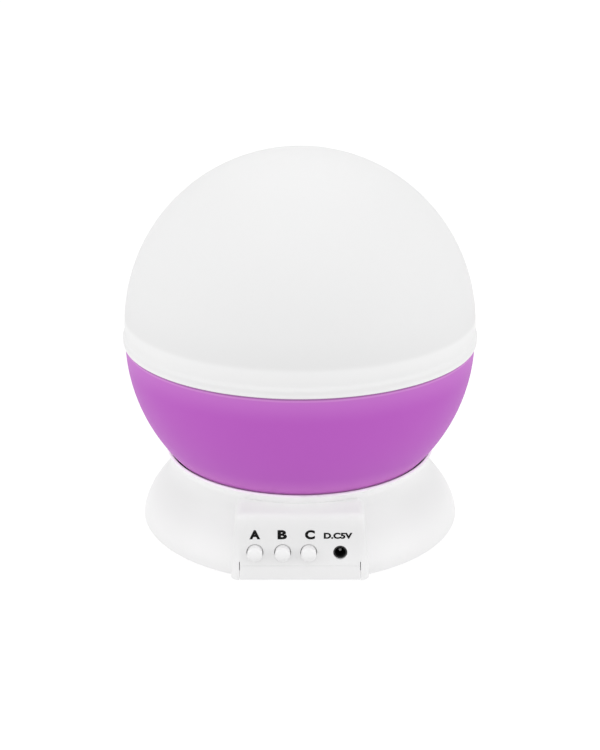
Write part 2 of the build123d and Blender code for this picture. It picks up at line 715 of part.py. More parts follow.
def battery_door():
    """Door of the battery bay, flush with the plate: two lugs behind, a finger tongue in front."""
    low = PLATE_Z[0]
    top = low + DOOR_THICKNESS
    half = BAY_HALF_LENGTH - DOOR_GAP
    front = BAY_Y[0] + DOOR_GAP
    back = BAY_Y[1] - DOOR_GAP
    door = brick((-half, half), (front, back), (low, top))
    for x in LUG_X:
        lug = (back - 1, back + LUG_REACH)
        door += brick((x - LUG_WIDTH / 2, x + LUG_WIDTH / 2), lug, (top - LUG_THICKNESS, top))
    latch = (front + LATCH_SETBACK, front + LATCH_SETBACK + LATCH_THICKNESS)
    door += brick((-LATCH_HALF_WIDTH, LATCH_HALF_WIDTH), latch, (top, top + LATCH_HEIGHT))
    groove, depth = GRIP_GROOVE
    for number in range(3):
        y = front + GRIP_START + GRIP_PITCH * number
        door -= brick((-GRIP_HALF_WIDTH, GRIP_HALF_WIDTH), (y, y + groove), (low, low + depth))
    return door


def cell_places():
    """Y and pole direction of each battery cell."""
    pitch = (BAY_Y[1] - BAY_Y[0]) / CELL_COUNT
    return [(BAY_Y[0] + pitch * (n + 0.5), 1 if n % 2 == 0 else -1) for n in range(CELL_COUNT)]


def along_x(radius, low, high, y, z):
    """Cylinder along X between two places."""
    return Plane((low, y, z), x_dir=(0, 1, 0), z_dir=(1, 0, 0)) * extrude(Circle(radius), high - low)


def aaa_cells():
    """Four AAA cells, poles alternating."""
    cells = []
    tip = BAY_HALF_LENGTH - CONTACT_THICKNESS
    for y, way in cell_places():
        shoulder = tip - CELL_NIPPLE[1]
        tail = shoulder - CELL_LENGTH
        ends = sorted((way * tail, way * shoulder))
        nipple = sorted((way * shoulder, way * tip))
        cells.append(along_x(CELL_RADIUS, *ends, y, CELL_Z) + along_x(CELL_NIPPLE[0], *nipple, y, CELL_Z))
    return cells


def battery_contacts():
    """Plate contacts at each cell's positive end."""
    plates = []
    for y, way in cell_places():
        x = sorted((way * BAY_HALF_LENGTH, way * (BAY_HALF_LENGTH - CONTACT_THICKNESS)))
        plates.append(brick(x, (y - CONTACT_HALF_WIDTH, y + CONTACT_HALF_WIDTH), CONTACT_Z))
    return plates


def battery_springs():
    """Leaf springs at each cell's negative end: a folded strip that the cell's flat end leans on."""
    leaves = []
    wall = BAY_HALF_LENGTH
    cell_end = wall - CONTACT_THICKNESS - CELL_NIPPLE[1] - CELL_LENGTH
    thick = SPRING_THICKNESS
    low, high = CONTACT_Z
    elbow = (low + high) / 2 + SPRING_ELBOW_RISE
    free_end = -wall + 4 * thick
    for y, way in cell_places():
        points = [
            (-wall, low),
            (-wall, high),
            (-wall + thick, high),
            (-wall + thick, low + SPRING_FOLD),
            (cell_end - thick, elbow),
            (free_end, high - SPRING_END_DROP),
            (free_end + thick, high),
            (cell_end, elbow),
            (-wall + thick, low),
        ]
        strip = extrude(Plane.XZ * make_face(Polyline(*points, close=True)), SPRING_HALF_WIDTH, both=True)
        turn = Rot(0, 0, 0 if way > 0 else 180)
        leaves.append(Pos(0, y, 0) * turn * strip)
    return leaves


def rubber_feet():
    """Four pads set in the plate's recesses."""
    feet = []
    for x, y in FOOT_PLACES:
        pad = rod(FOOT_RADIUS, 0, FOOT_HEIGHT, x, y)
        feet.append(chamfer(pad.edges().group_by(Axis.Z)[0], FOOT_CHAMFER))
    return feet


def base_screws():
    """Four screws from below, through the plate into the housing's bosses."""
    return [screw(BASE_SCREW, BASE_SCREW_SEAT_Z, x, y, way=1) for x, y in BASE_SCREW_PLACES]


# ---------------------------------------------------------------- controls


def button_cap(x):
    """Round cap with a domed front and a collar that keeps it in its hole."""
    low, high = (y - BUTTON_FRONT_Y for y in BUTTON_COLLAR_Y)
    sphere = (BUTTON_RADIUS**2 + BUTTON_DOME**2) / (2 * BUTTON_DOME)
    cap = turned(
        Line((0, 0), (0, high)),
        Line((0, high), (BUTTON_COLLAR_RADIUS, high)),
        Line((BUTTON_COLLAR_RADIUS, high), (BUTTON_COLLAR_RADIUS, low)),
        Line((BUTTON_COLLAR_RADIUS, low), (BUTTON_RADIUS, low)),
        Line((BUTTON_RADIUS, low), (BUTTON_RADIUS, BUTTON_DOME)),
        CenterArc((0, sphere), sphere, -90, degrees(asin(BUTTON_RADIUS / sphere))),
    )
    return Plane((x, BUTTON_FRONT_Y, CONTROL_Z), x_dir=(1, 0, 0), z_dir=(0, 1, 0)) * cap


def switch_plunger(x):
    """Plunger between the cap and its switch."""
    return rod_y(PLUNGER_RADIUS, BUTTON_COLLAR_Y[1], SWITCH_FRONT_Y + PLUNGER_TRAVEL_ROOM / 2, x, CONTROL_Z)


def switch_bodies():
    """Three push switches standing on the board, each with a well for its plunger."""
    width, depth = SWITCH_SIZE
    well_end = SWITCH_FRONT_Y + 1.5 * PLUNGER_TRAVEL_ROOM
    bodies = []
    for x in BUTTON_X:
        along = (SWITCH_FRONT_Y, SWITCH_FRONT_Y + depth)
        body = brick((x - width / 2, x + width / 2), along, (BOARD_Z[1], SWITCH_TOP_Z))
        well = rod_y(PLUNGER_RADIUS + PLUNGER_CLEARANCE, SWITCH_FRONT_Y, well_end, x, CONTROL_Z)
        bodies.append(body - well)
    return bodies


def dc_jack_shell():
    """Power jack: a block on the board with a round nose in the housing's hole and a round socket."""
    across = (JACK_X - JACK_BODY_HALF_WIDTH, JACK_X + JACK_BODY_HALF_WIDTH)
    body = brick(across, JACK_BODY_Y, (BOARD_Z[1], JACK_BODY_TOP_Z))
    body += rod_y(JACK_NOSE_RADIUS, JACK_FRONT_Y, JACK_BODY_Y[0], JACK_X, CONTROL_Z)
    body -= rod_y(JACK_SOCKET_RADIUS, JACK_FRONT_Y, JACK_SOCKET_END_Y, JACK_X, CONTROL_Z)
    return body - rod_y(JACK_TAIL_RADIUS, JACK_SOCKET_END_Y, JACK_TAIL_END_Y, JACK_X, CONTROL_Z)


def dc_jack_pin():
    """Centre pin of the jack: chamfered tip, and a thinner tail pressed in the shell."""
    pin = rod_y(JACK_PIN_RADIUS, *JACK_PIN_Y, JACK_X, CONTROL_Z)
    pin = chamfer(pin.edges().group_by(Axis.Y)[0], JACK_PIN_CHAMFER)
    return pin + rod_y(JACK_TAIL_RADIUS, JACK_PIN_Y[1], JACK_TAIL_END_Y, JACK_X, CONTROL_Z)


def control_board():
    """Board behind the control block, on two posts."""
    board = brick((-BOARD_HALF_WIDTH, BOARD_HALF_WIDTH), BOARD_Y, BOARD_Z)
    for x, y in BOARD_SCREW_PLACES:
        board -= shank(BOARD_SCREW, BOARD_Z[1], x, y)
    return board


def board_components():
    """Wire connector, controller chip and capacitor behind the switches."""
    capacitor = rod(CAPACITOR_RADIUS, BOARD_Z[1], CAPACITOR_TOP_Z, *CAPACITOR_PLACE)
    return [brick(*CONNECTOR), brick(*CHIP), capacitor]


def board_screws():
    """Two screws that hold the board on its posts."""
    return [screw(BOARD_SCREW, BOARD_Z[1], x, y) for x, y in BOARD_SCREW_PLACES]


# ---------------------------------------------------------------- drive


def motor_can():
    """Steel can of the motor with its bearing boss."""
    boss_top = MOTOR_BOSS_TOP_Z
    can = rod(MOTOR_RADIUS, MOTOR_CAP_TOP_Z, GEAR_PLATE_Z[0], *MOTOR_PLACE)
    can += rod(MOTOR_BOSS_RADIUS, GEAR_PLATE_Z[0], boss_top, *MOTOR_PLACE)
    return can - rod(MOTOR_SHAFT_RADIUS + AXLE_CLEARANCE, MOTOR_CAP_TOP_Z, boss_top, *MOTOR_PLACE)


def motor_end_cap():
    """Plastic end of the motor, with a well for the shaft."""
    cap = rod(MOTOR_CAP_RADIUS, PLATE_Z[1], MOTOR_CAP_TOP_Z, *MOTOR_PLACE)
    well_foot = SHAFT_FOOT_Z - SHAFT_WELL_ROOM
    return cap - rod(MOTOR_SHAFT_RADIUS + AXLE_CLEARANCE, well_foot, MOTOR_CAP_TOP_Z, *MOTOR_PLACE)


def motor_shaft():
    """Shaft of the motor."""
    return rod(MOTOR_SHAFT_RADIUS, SHAFT_FOOT_Z, FIRST_LEVEL[1], *MOTOR_PLACE)


def motor_pinion():
    """Pinion pressed on the motor's shaft."""
    pinion = toothed(SMALL_PINION_TEETH, FINE_MODULE, MOTOR_PHASE, FIRST_LEVEL, MOTOR_PLACE)
    return pinion - rod(MOTOR_SHAFT_RADIUS, *FIRST_LEVEL, *MOTOR_PLACE)


def gear_plate():
    """Plate over the motor that carries both axles."""
    left, right, front = GEAR_POST_PLACES
    corners = Polyline(left, front, right, *GEAR_PLATE_BACK, close=True)
    low, top = GEAR_PLATE_Z
    plate = Pos(0, 0, low) * extrude(offset(make_face(corners), GEAR_PLATE_MARGIN), top - low)
    plate -= rod(MOTOR_BOSS_RADIUS + MOTOR_BOSS_CLEARANCE, low, top, *MOTOR_PLACE)
    for place in (FIRST_PLACE, SECOND_PLACE):
        plate -= rod(AXLE_RADIUS, low, top, *place)
    for x, y in GEAR_POST_PLACES:
        plate -= rod(GEAR_PLATE_SCREW[2], low, top, x, y)
    return plate


def gear_plate_screws():
    """Three screws that hold the gear plate on its posts."""
    return [screw(GEAR_PLATE_SCREW, GEAR_PLATE_Z[1], x, y) for x, y in GEAR_POST_PLACES]


def first_gear():
    """Double gear driven by the motor pinion."""
    return wheel_and_pinion(
        FIRST_PLACE, WHEEL_TEETH, FIRST_LEVEL, SMALL_PINION_TEETH, SECOND_LEVEL, FINE_MODULE, FIRST_PHASE
    )


def second_gear():
    """Double gear between the first gear and the hub gear."""
    return wheel_and_pinion(
        SECOND_PLACE, WHEEL_TEETH, SECOND_LEVEL, SECOND_PINION_TEETH, HUB_LEVEL, COARSE_MODULE, SECOND_PHASE
    )


def thrust_ring():
    """Slippery ring on the dish that the bowl turns on."""
    inner, outer = THRUST_RING_RADII
    return washer(outer, inner, DISH_FLOOR_Z, BOWL_FLOOR_Z)


# ---------------------------------------------------------------- column and lights


def centre_column():
    """Fixed column that the ball turns round: foot on the bay's roof, bore and slot for the wires."""
    column = rod(COLUMN_FOOT_RADIUS, BAY_ROOF_Z, COLUMN_FOOT_TOP_Z)
    column += rod(COLUMN_RADIUS, BAY_ROOF_Z, COLUMN_TOP_Z)
    column -= rod(COLUMN_BORE, BAY_ROOF_Z, COLUMN_TOP_Z - COLUMN_CAP)
    column -= rod(COLUMN_WIRE_HOLE, COLUMN_TOP_Z - COLUMN_CAP, COLUMN_TOP_Z)
    slot = (-COLUMN_SLOT_HALF_WIDTH, COLUMN_SLOT_HALF_WIDTH)
    column -= brick(slot, (-COLUMN_FOOT_RADIUS - 1, 0), (BAY_ROOF_Z, COLUMN_FOOT_TOP_Z))
    for x, y in column_screw_places():
        column -= Pos(x, y, BAY_ROOF_Z) * countersunk()
    for x in LED_BOARD_SCREW_X:
        column -= shank(LED_BOARD_SCREW, LED_BOARD_TOP_Z, x, 0)
    return column


def column_screw_places():
    """Places of the four screws in the column's foot."""
    return [from_point((0, 0), COLUMN_SCREW_CIRCLE, 45 + 90 * number) for number in range(4)]


def countersunk():
    """Countersunk screw that sits flush in the column's foot and ends in the bay's roof."""
    top = COLUMN_FOOT_TOP_Z - BAY_ROOF_Z
    head_radius, head, radius, _ = COLUMN_SCREW
    cone = ((radius, top - head), (head_radius, top))
    return turned_points((0, -BAY_WALL), (radius, -BAY_WALL), *cone, (0, top))


def column_screws():
    """Four screws from the column's foot into the bay's roof."""
    return [Pos(x, y, BAY_ROOF_Z) * countersunk() for x, y in column_screw_places()]


def led_board():
    """Round board on top of the column."""
    board = rod(LED_BOARD_RADIUS, COLUMN_TOP_Z, LED_BOARD_TOP_Z)
    for x in LED_BOARD_SCREW_X:
        board -= shank(LED_BOARD_SCREW, LED_BOARD_TOP_Z, x, 0)
    return board


def led_board_screws():
    """Two screws that hold the round board on the column."""
    return [screw(LED_BOARD_SCREW, LED_BOARD_TOP_Z, x, 0) for x in LED_BOARD_SCREW_X]


def light(number):
    """Round-topped LED with its flange, on the board's circle."""
    x, y = from_point((0, 0), LED_CIRCLE, 45 + 90 * number)
    flange_radius, flange = LED_FLANGE
    low = LED_BOARD_TOP_Z
    shoulder = low + LED_STRAIGHT
    bulb = turned(
        Line((0, low), (flange_radius, low)),
        Line((flange_radius, low), (flange_radius, low + flange)),
        Line((flange_radius, low + flange), (LED_RADIUS, low + flange)),
        Line((LED_RADIUS, low + flange), (LED_RADIUS, shoulder)),
        CenterArc((0, shoulder), LED_RADIUS, 0, 90),
        Line((0, shoulder + LED_RADIUS), (0, low)),
    )
    return Pos(x, y, 0) * bulb


# ---------------------------------------------------------------- wires


def wire(points, bend):
    """Insulated wire along straight runs joined by arcs."""
    path = FilletPolyline(*points, radius=bend)
    section = Plane(origin=path @ 0, z_dir=path % 0) * Circle(WIRE_RADIUS)
    return sweep(section, path=path)


def led_leads():
    """Three wires from the connector over the bay's roof and up the column to the round board."""
    x, y, z = LED_WIRE_START
    level = LED_WIRE_LEVEL
    leads = []
    for step in (-WIRE_STEP, 0.0, WIRE_STEP):
        points = [
            (x + step, y, z),
            (x + step, y, level),
            (x + step, LED_WIRE_TURN_Y[0], level),
            (step, LED_WIRE_TURN_Y[1], level),
            (step, LED_WIRE_RISE_Y, level),
            (step, LED_WIRE_RISE_Y, COLUMN_TOP_Z),
        ]
        leads.append(wire(points, LED_WIRE_BEND))
    return leads


def motor_leads():
    """Two wires from the board's right edge, round the battery bay, to the motor's side."""
    run_y, run_z = MOTOR_WIRE_RUN
    turn_x, aside, turn_z = MOTOR_WIRE_TURN
    leads = []
    for step in (0.0, WIRE_STEP):
        end_y = MOTOR_PLACE[1] + aside - step
        points = [
            (BOARD_HALF_WIDTH, EDGE_WIRE_Y + step, EDGE_WIRE_Z),
            (SIDE_WIRE_X - step, EDGE_WIRE_Y + step, EDGE_WIRE_Z),
            (SIDE_WIRE_X - step, run_y - step, run_z),
            (turn_x - step, end_y, turn_z),
            (MOTOR_PLACE[0] + MOTOR_RADIUS + WIRE_END_GAP, end_y, turn_z),
        ]
        leads.append(wire(points, MOTOR_WIRE_BEND))
    return leads


def battery_leads():
    """Two wires from the board's left edge to the side of the battery bay."""
    end_y, end_z = BATTERY_WIRE_END
    leads = []
    for step in (0.0, WIRE_STEP):
        points = [
            (-BOARD_HALF_WIDTH, EDGE_WIRE_Y + step, EDGE_WIRE_Z),
            (-SIDE_WIRE_X + step, EDGE_WIRE_Y + step, EDGE_WIRE_Z),
            (-SIDE_WIRE_X + step, end_y - step, end_z),
            (-BAY_HALF_LENGTH - BAY_WALL, end_y - step, end_z),
        ]
        leads.append(wire(points, BATTERY_WIRE_BEND))
    return leads


# ---------------------------------------------------------------- all parts


def parts():
    """Every sub-part by name."""
    built = {
        "diffuser_cover": diffuser_cover(),
        "bowl": bowl(),
        "rim_collar": rim_collar(),
        "star_mask": star_mask(),
        "clear_dome": half_shell(LINER_RADIUS, LINER_WALL, LEDGE_TOP_Z),
        "hub_gear": hub_gear(),
        "hub_screws": hub_screws(),
        "base_housing": base_housing(),
        "base_plate": base_plate(),
        "battery_door": battery_door(),
        "aaa_cells": aaa_cells(),
        "battery_contacts": battery_contacts(),
        "battery_springs": battery_springs(),
        "rubber_feet": rubber_feet(),
        "base_screws": base_screws(),
        "switch_bodies": switch_bodies(),
        "dc_jack_shell": dc_jack_shell(),
        "dc_jack_pin": dc_jack_pin(),
        "control_board": control_board(),
        "board_components": board_components(),
        "board_screws": board_screws(),
        "motor_can": motor_can(),
        "motor_end_cap": motor_end_cap(),
        "motor_shaft": motor_shaft(),
        "motor_pinion": motor_pinion(),
        "gear_plate": gear_plate(),
        "gear_plate_screws": gear_plate_screws(),
        "first_gear": first_gear(),
        "first_axle": rod(AXLE_RADIUS, GEAR_PLATE_Z[0], FIRST_AXLE_TOP_Z, *FIRST_PLACE),
        "second_gear": second_gear(),
        "second_axle": rod(AXLE_RADIUS, GEAR_PLATE_Z[0], SECOND_AXLE_TOP_Z, *SECOND_PLACE),
        "thrust_ring": thrust_ring(),
        "centre_column": centre_column(),
        "column_screws": column_screws(),
        "led_board": led_board(),
        "led_board_screws": led_board_screws(),
        "led_leads": led_leads(),
        "motor_leads": motor_leads(),
        "battery_leads": battery_leads(),
    }
    for name, x in zip(BUTTON_NAMES, BUTTON_X):
        built[f"button_cap_{name}"] = button_cap(x)
        built[f"switch_plunger_{name}"] = switch_plunger(x)
    for number, name in enumerate(LED_NAMES):
        built[f"led_{name}"] = light(number)
    return built


os.makedirs("parts", exist_ok=True)
for node, shape in parts().items():
    solids = shape if isinstance(shape, list) else shape.solids()
    kept = solids[0] if len(solids) == 1 else Compound(children=list(solids))
    export_step(kept, f"parts/{node}.step")
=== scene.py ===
"""Looks of a star night light projector: a milky ball with a coloured bowl that turns on a white base.

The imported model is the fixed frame. This file gives every piece of it a finish and makes anew what its solids
leave plain: the smooth cover with its lip, the screws with their threads and cross recesses, the parts on the
control board and the wrapped cells. It adds the metal inside the lights and the printed legends, and sets the
studio round the object.
Lengths in the classes are millimetres; MM turns them into the frame's metres. +Z is up and -Y is the front.
"""

import logging
from dataclasses import dataclass
from enum import Enum
from functools import cached_property
from math import atan2, cos, pi, radians, sin, tau

import bmesh
import bpy
from mathutils import Matrix, Vector


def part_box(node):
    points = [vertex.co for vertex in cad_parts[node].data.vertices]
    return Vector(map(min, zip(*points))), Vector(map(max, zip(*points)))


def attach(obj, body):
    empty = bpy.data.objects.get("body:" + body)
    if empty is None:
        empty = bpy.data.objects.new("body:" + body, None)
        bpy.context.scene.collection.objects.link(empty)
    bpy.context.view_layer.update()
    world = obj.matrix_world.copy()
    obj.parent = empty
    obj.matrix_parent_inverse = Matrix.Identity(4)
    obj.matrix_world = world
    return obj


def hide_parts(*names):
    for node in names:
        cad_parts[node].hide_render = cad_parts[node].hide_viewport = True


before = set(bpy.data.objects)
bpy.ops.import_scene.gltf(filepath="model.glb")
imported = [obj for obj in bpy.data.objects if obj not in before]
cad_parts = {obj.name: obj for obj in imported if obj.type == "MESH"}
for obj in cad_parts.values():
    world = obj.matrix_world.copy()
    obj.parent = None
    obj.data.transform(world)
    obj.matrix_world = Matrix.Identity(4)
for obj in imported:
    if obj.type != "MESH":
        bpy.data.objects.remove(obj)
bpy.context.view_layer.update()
LOG = logging.getLogger("night_light")
MM = 0.001
# Degrees between two faces above which their edge stays sharp
SMOOTH_ANGLE = 32.0

Colour = tuple[float, float, float]
Point = tuple[float, float, float]
Span = tuple[float, float]
Outline = tuple[Span, ...]
Solid = bmesh.types.BMesh
Socket = bpy.types.NodeSocket
Inputs = dict[str | int, object]


class Body(Enum):
    """The rigid bodies that new pieces ride on."""

    BASE = "base"
    BALL = "ball"
    COVER = "cover"


# ---------------------------------------------------------------- shader node groups


class Graph:
    """A node tree with short calls to add nodes and join them."""

    # Socket numbers of the Mix node: its two colours, its two values and the mixed colour
    MIX_COLOURS = (6, 7)
    MIX_VALUES = (2, 3)
    MIXED_COLOUR = 2

    def __init__(self, tree: bpy.types.NodeTree) -> None:
        """Wrap the tree that nodes are added to."""
        self.tree = tree

    def join(self, start: Socket, end: Socket) -> None:
        """Link an output to an input."""
        self.tree.links.new(start, end)

    def node(self, kind: str, inputs: Inputs | None = None, **settings: object) -> bpy.types.Node:
        """Add a node.

        Args:
            kind: The node's type name.
            inputs: Input name or number to a value or to the socket that feeds it.
            settings: Attributes of the node.

        Returns:
            The new node.
        """
        made = self.tree.nodes.new(kind)
        for name, value in settings.items():
            setattr(made, name, value)
        for name, value in (inputs or {}).items():
            if isinstance(value, Socket):
                self.join(value, made.inputs[name])
            else:
                made.inputs[name].default_value = value
        return made

    def effect(self, group: bpy.types.NodeTree, inputs: Inputs) -> bpy.types.bpy_prop_collection:
        """Place a node group with its values, and hand back its outputs by name."""
        return self.node("ShaderNodeGroup", inputs, node_tree=group).outputs

    def maths(self, operation: str, first: object, second: object) -> Socket:
        """Add a Math node of two values or sockets, and hand back its result."""
        return self.node("ShaderNodeMath", {0: first, 1: second}, operation=operation).outputs[0]

    def swing(self, value: Socket, amount: object) -> Socket:
        """Turn a value from 0 to 1 into one that swings by half an amount each side of 0."""
        return self.maths("MULTIPLY", self.maths("SUBTRACT", value, 0.5), amount)

    def ramp(self, value: Socket, low: object, high: object, curve: str = "LINEAR") -> Socket:
        """Turn a value into one that goes from 0 at its low end to 1 at its high end."""
        ends = {"Value": value, "From Min": low, "From Max": high}
        return self.node("ShaderNodeMapRange", ends, interpolation_type=curve).outputs[0]

    def blend(self, share: Socket, first: object, second: object) -> Socket:
        """Mix two colours, by the share of the second."""
        sockets = {0: share, self.MIX_COLOURS[0]: first, self.MIX_COLOURS[1]: second}
        return self.node("ShaderNodeMix", sockets, data_type="RGBA").outputs[self.MIXED_COLOUR]

    def choose(self, share: Socket, first: Socket, second: Socket) -> Socket:
        """Mix two values, by the share of the second."""
        sockets = {0: share, self.MIX_VALUES[0]: first, self.MIX_VALUES[1]: second}
        return self.node("ShaderNodeMix", sockets, data_type="FLOAT").outputs[0]

    def place(self) -> Socket:
        """The object's own coordinates."""
        return self.node("ShaderNodeTexCoord").outputs["Object"]

    def noise(self, size_mm: object, detail: float = 2.0, stretch: Point = (1, 1, 1)) -> Socket:
        """Noise over the object's own coordinates.

        Args:
            size_mm: Width of a grain, as a value or a socket.
            detail: Octaves of the noise.
            stretch: Scale along each axis before the noise is read.

        Returns:
            The noise value's socket, from 0 to 1.
        """
        mapped = self.node("ShaderNodeMapping", {"Vector": self.place(), "Scale": stretch}).outputs[0]
        scale = self.maths("DIVIDE", 1.0 / MM, size_mm)
        inputs = {"Vector": mapped, "Scale": scale, "Detail": detail}
        return self.node("ShaderNodeTexNoise", inputs).outputs[0]

    def bump(self, height: Socket, strength: float, depth: float) -> Socket:
        """Normal of a relief, by its height from 0 to 1, its strength and its depth in millimetres."""
        inputs = {"Strength": strength, "Distance": depth * MM, "Height": height}
        return self.node("ShaderNodeBump", inputs).outputs[0]


def solid_colour(colour: Colour) -> tuple[float, float, float, float]:
    """A colour with full alpha."""
    return (*colour, 1.0)


def grey(value: float) -> Colour:
    """A colour with no hue."""
    return (value, value, value)


def open_group(name: str, inputs: dict[str, object], *outputs: str) -> tuple:
    """Make an empty node group. A socket whose name ends in Color carries a colour, any other a value.

    Args:
        name: The group's name.
        inputs: Input names with their values.
        outputs: Output names.

    Returns:
        The group's graph, its inputs, and the sockets that take its results.
    """
    tree = bpy.data.node_groups.new(name, "ShaderNodeTree")
    for way, names in (("INPUT", inputs), ("OUTPUT", outputs)):
        for item in names:
            kind = "NodeSocketColor" if item.endswith("Color") else "NodeSocketFloat"
            socket = tree.interface.new_socket(item, in_out=way, socket_type=kind)
            if way == "INPUT":
                socket.default_value = inputs[item]
    graph = Graph(tree)
    return graph, graph.node("NodeGroupInput").outputs, graph.node("NodeGroupOutput").inputs


class EffectGroups:
    """The effects that several finishes share, each built once as a shader node group. Sizes in millimetres.

    A finish sets some of a group's values for itself. The others stay as the group is opened with.
    """

    PLAIN = solid_colour(grey(0.8))
    EDGE_SAMPLES = 4
    EDGE_TURN = (0.02, 0.25)
    WAVER_SIZE = 14.0
    STREAK_STRETCH = (0.08, 0.08, 1.0)

    @cached_property
    def mould_texture(self) -> bpy.types.NodeTree:
        """Fine grain and slow waves of a moulded surface, as a height and a roughness.

        Returns:
            The group.
        """
        sizes = {"Grain Size": 0.35, "Wave Size": 9.0, "Grain Share": 0.5}
        values = sizes | {"Roughness": 0.4, "Variation": 0.05}
        graph, start, end = open_group("Mould texture", values, "Height", "Roughness")
        waves = graph.noise(start["Wave Size"], detail=1.0)
        grain = graph.maths("MULTIPLY", graph.noise(start["Grain Size"]), start["Grain Share"])
        graph.join(graph.maths("ADD", grain, waves), end["Height"])
        drift = graph.swing(waves, start["Variation"])
        graph.join(graph.maths("ADD", start["Roughness"], drift), end["Roughness"])
        return graph.tree

    @cached_property
    def tone_drift(self) -> bpy.types.NodeTree:
        """Slow lightening and darkening of a colour over the surface.

        Returns:
            The group.
        """
        values = {"Color": self.PLAIN, "Amount": 0.03, "Size": 25.0}
        graph, start, end = open_group("Tone drift", values, "Color")
        swing = graph.swing(graph.noise(start["Size"], detail=3.0), start["Amount"])
        inputs = {"Value": graph.maths("ADD", swing, 1.0), "Color": start["Color"]}
        graph.join(graph.node("ShaderNodeHueSaturation", inputs).outputs[0], end["Color"])
        return graph.tree

    @cached_property
    def edge_highlight_and_wear(self) -> bpy.types.NodeTree:
        """Colour that goes paler on outer edges: a painted highlight along them, with a little of the wear of
        handled plastic.

        Returns:
            The group.
        """
        values = {"Color": self.PLAIN, "Edge Color": self.PLAIN, "Width": 0.5, "Amount": 0.3}
        graph, start, end = open_group("Edge highlight and wear", values, "Color")
        radius = graph.maths("MULTIPLY", start["Width"], MM)
        # Painted highlight: a mask of the outer edges, where a rounded normal turns away from the true one
        rounded = graph.node("ShaderNodeBevel", {"Radius": radius}, samples=self.EDGE_SAMPLES).outputs[0]
        facing = graph.node("ShaderNodeNewGeometry").outputs["Normal"]
        same = graph.node("ShaderNodeVectorMath", {0: rounded, 1: facing}, operation="DOT_PRODUCT")
        mask = graph.ramp(graph.maths("SUBTRACT", 1.0, same.outputs["Value"]), *self.EDGE_TURN)
        share = graph.maths("MULTIPLY", mask, start["Amount"])
        graph.join(graph.blend(share, start["Color"], start["Edge Color"]), end["Color"])
        return graph.tree

    @cached_property
    def height_tone(self) -> bpy.types.NodeTree:
        """Colour that turns to a tint round one level of the object and back again, in millimetres up.

        Returns:
            The group.
        """
        colours = {"Color": self.PLAIN, "Tint Color": self.PLAIN}
        values = colours | {"Start": 0.0, "Peak": 1.0, "End": 2.0, "Waver": 0.3}
        graph, start, end = open_group("Height tone", values, "Color")
        height = graph.node("ShaderNodeSeparateXYZ", {0: graph.place()}).outputs["Z"]
        waver = graph.swing(graph.noise(self.WAVER_SIZE, detail=1.0), start["Waver"])
        level = graph.maths("ADD", graph.maths("DIVIDE", height, MM), waver)
        sides = [graph.ramp(level, start[low], start["Peak"], "SMOOTHSTEP") for low in ("Start", "End")]
        share = graph.maths("MULTIPLY", *sides)
        graph.join(graph.blend(share, start["Color"], start["Tint Color"]), end["Color"])
        return graph.tree

    @cached_property
    def drawn_streaks(self) -> bpy.types.NodeTree:
        """Fine turning marks of drawn or plated metal, as a height and a roughness.

        Returns:
            The group.
        """
        values = {"Size": 0.2, "Roughness": 0.3, "Variation": 0.15}
        graph, start, end = open_group("Drawn streaks", values, "Height", "Roughness")
        streaks = graph.noise(start["Size"], 3.0, self.STREAK_STRETCH)
        graph.join(streaks, end["Height"])
        drift = graph.swing(streaks, start["Variation"])
        graph.join(graph.maths("ADD", start["Roughness"], drift), end["Roughness"])
        return graph.tree


EFFECTS = EffectGroups()


# ---------------------------------------------------------------- finishes


def new_material(name: str) -> tuple[bpy.types.Material, Graph, bpy.types.Node]:
    """Start a material with only an output node.

    Args:
        name: The material's name.

    Returns:
        The material, its graph and its output node.
    """
    material = bpy.data.materials.new(name)
    material.use_nodes = True
    material.node_tree.nodes.clear()
    graph = Graph(material.node_tree)
    return material, graph, graph.node("ShaderNodeOutputMaterial")


def drifting(graph: Graph, colour: object, amount: float, size: float) -> Socket:
    """A colour or socket with a slow drift of tone, whose size is in millimetres."""
    return graph.effect(EFFECTS.tone_drift, {"Color": colour, "Amount": amount, "Size": size})["Color"]


@dataclass(frozen=True)
class Level:
    """A tint round one height of a piece, which here paints light and shade in bands: where it starts, is
    fullest and ends, in millimetres up.
    """

    tint: Colour
    start: float
    peak: float
    end: float

    def lay(self, graph: Graph, colour: Socket) -> Socket:
        """Lay the tint over a colour.

        Args:
            graph: The material's graph.
            colour: The colour's socket.

        Returns:
            The tinted colour's socket.
        """
        colours = {"Color": colour, "Tint Color": solid_colour(self.tint)}
        heights = {"Start": self.start, "Peak": self.peak, "End": self.end}
        return graph.effect(EFFECTS.height_tone, colours | heights)["Color"]


@dataclass(frozen=True)
class Finish:
    """What every finish has: the material's name and its colour."""

    name: str
    colour: Colour

    def shader_inputs(self, graph: Graph) -> Inputs:
        """Inputs of the Principled shader, which each kind of finish makes for itself."""
        raise NotImplementedError(self.name)

    def build(self) -> bpy.types.Material:
        """Make the material.

        Returns:
            The material.
        """
        material, graph, output = new_material(self.name)
        shader = graph.node("ShaderNodeBsdfPrincipled", self.shader_inputs(graph))
        graph.join(shader.outputs[0], output.inputs["Surface"])
        return material


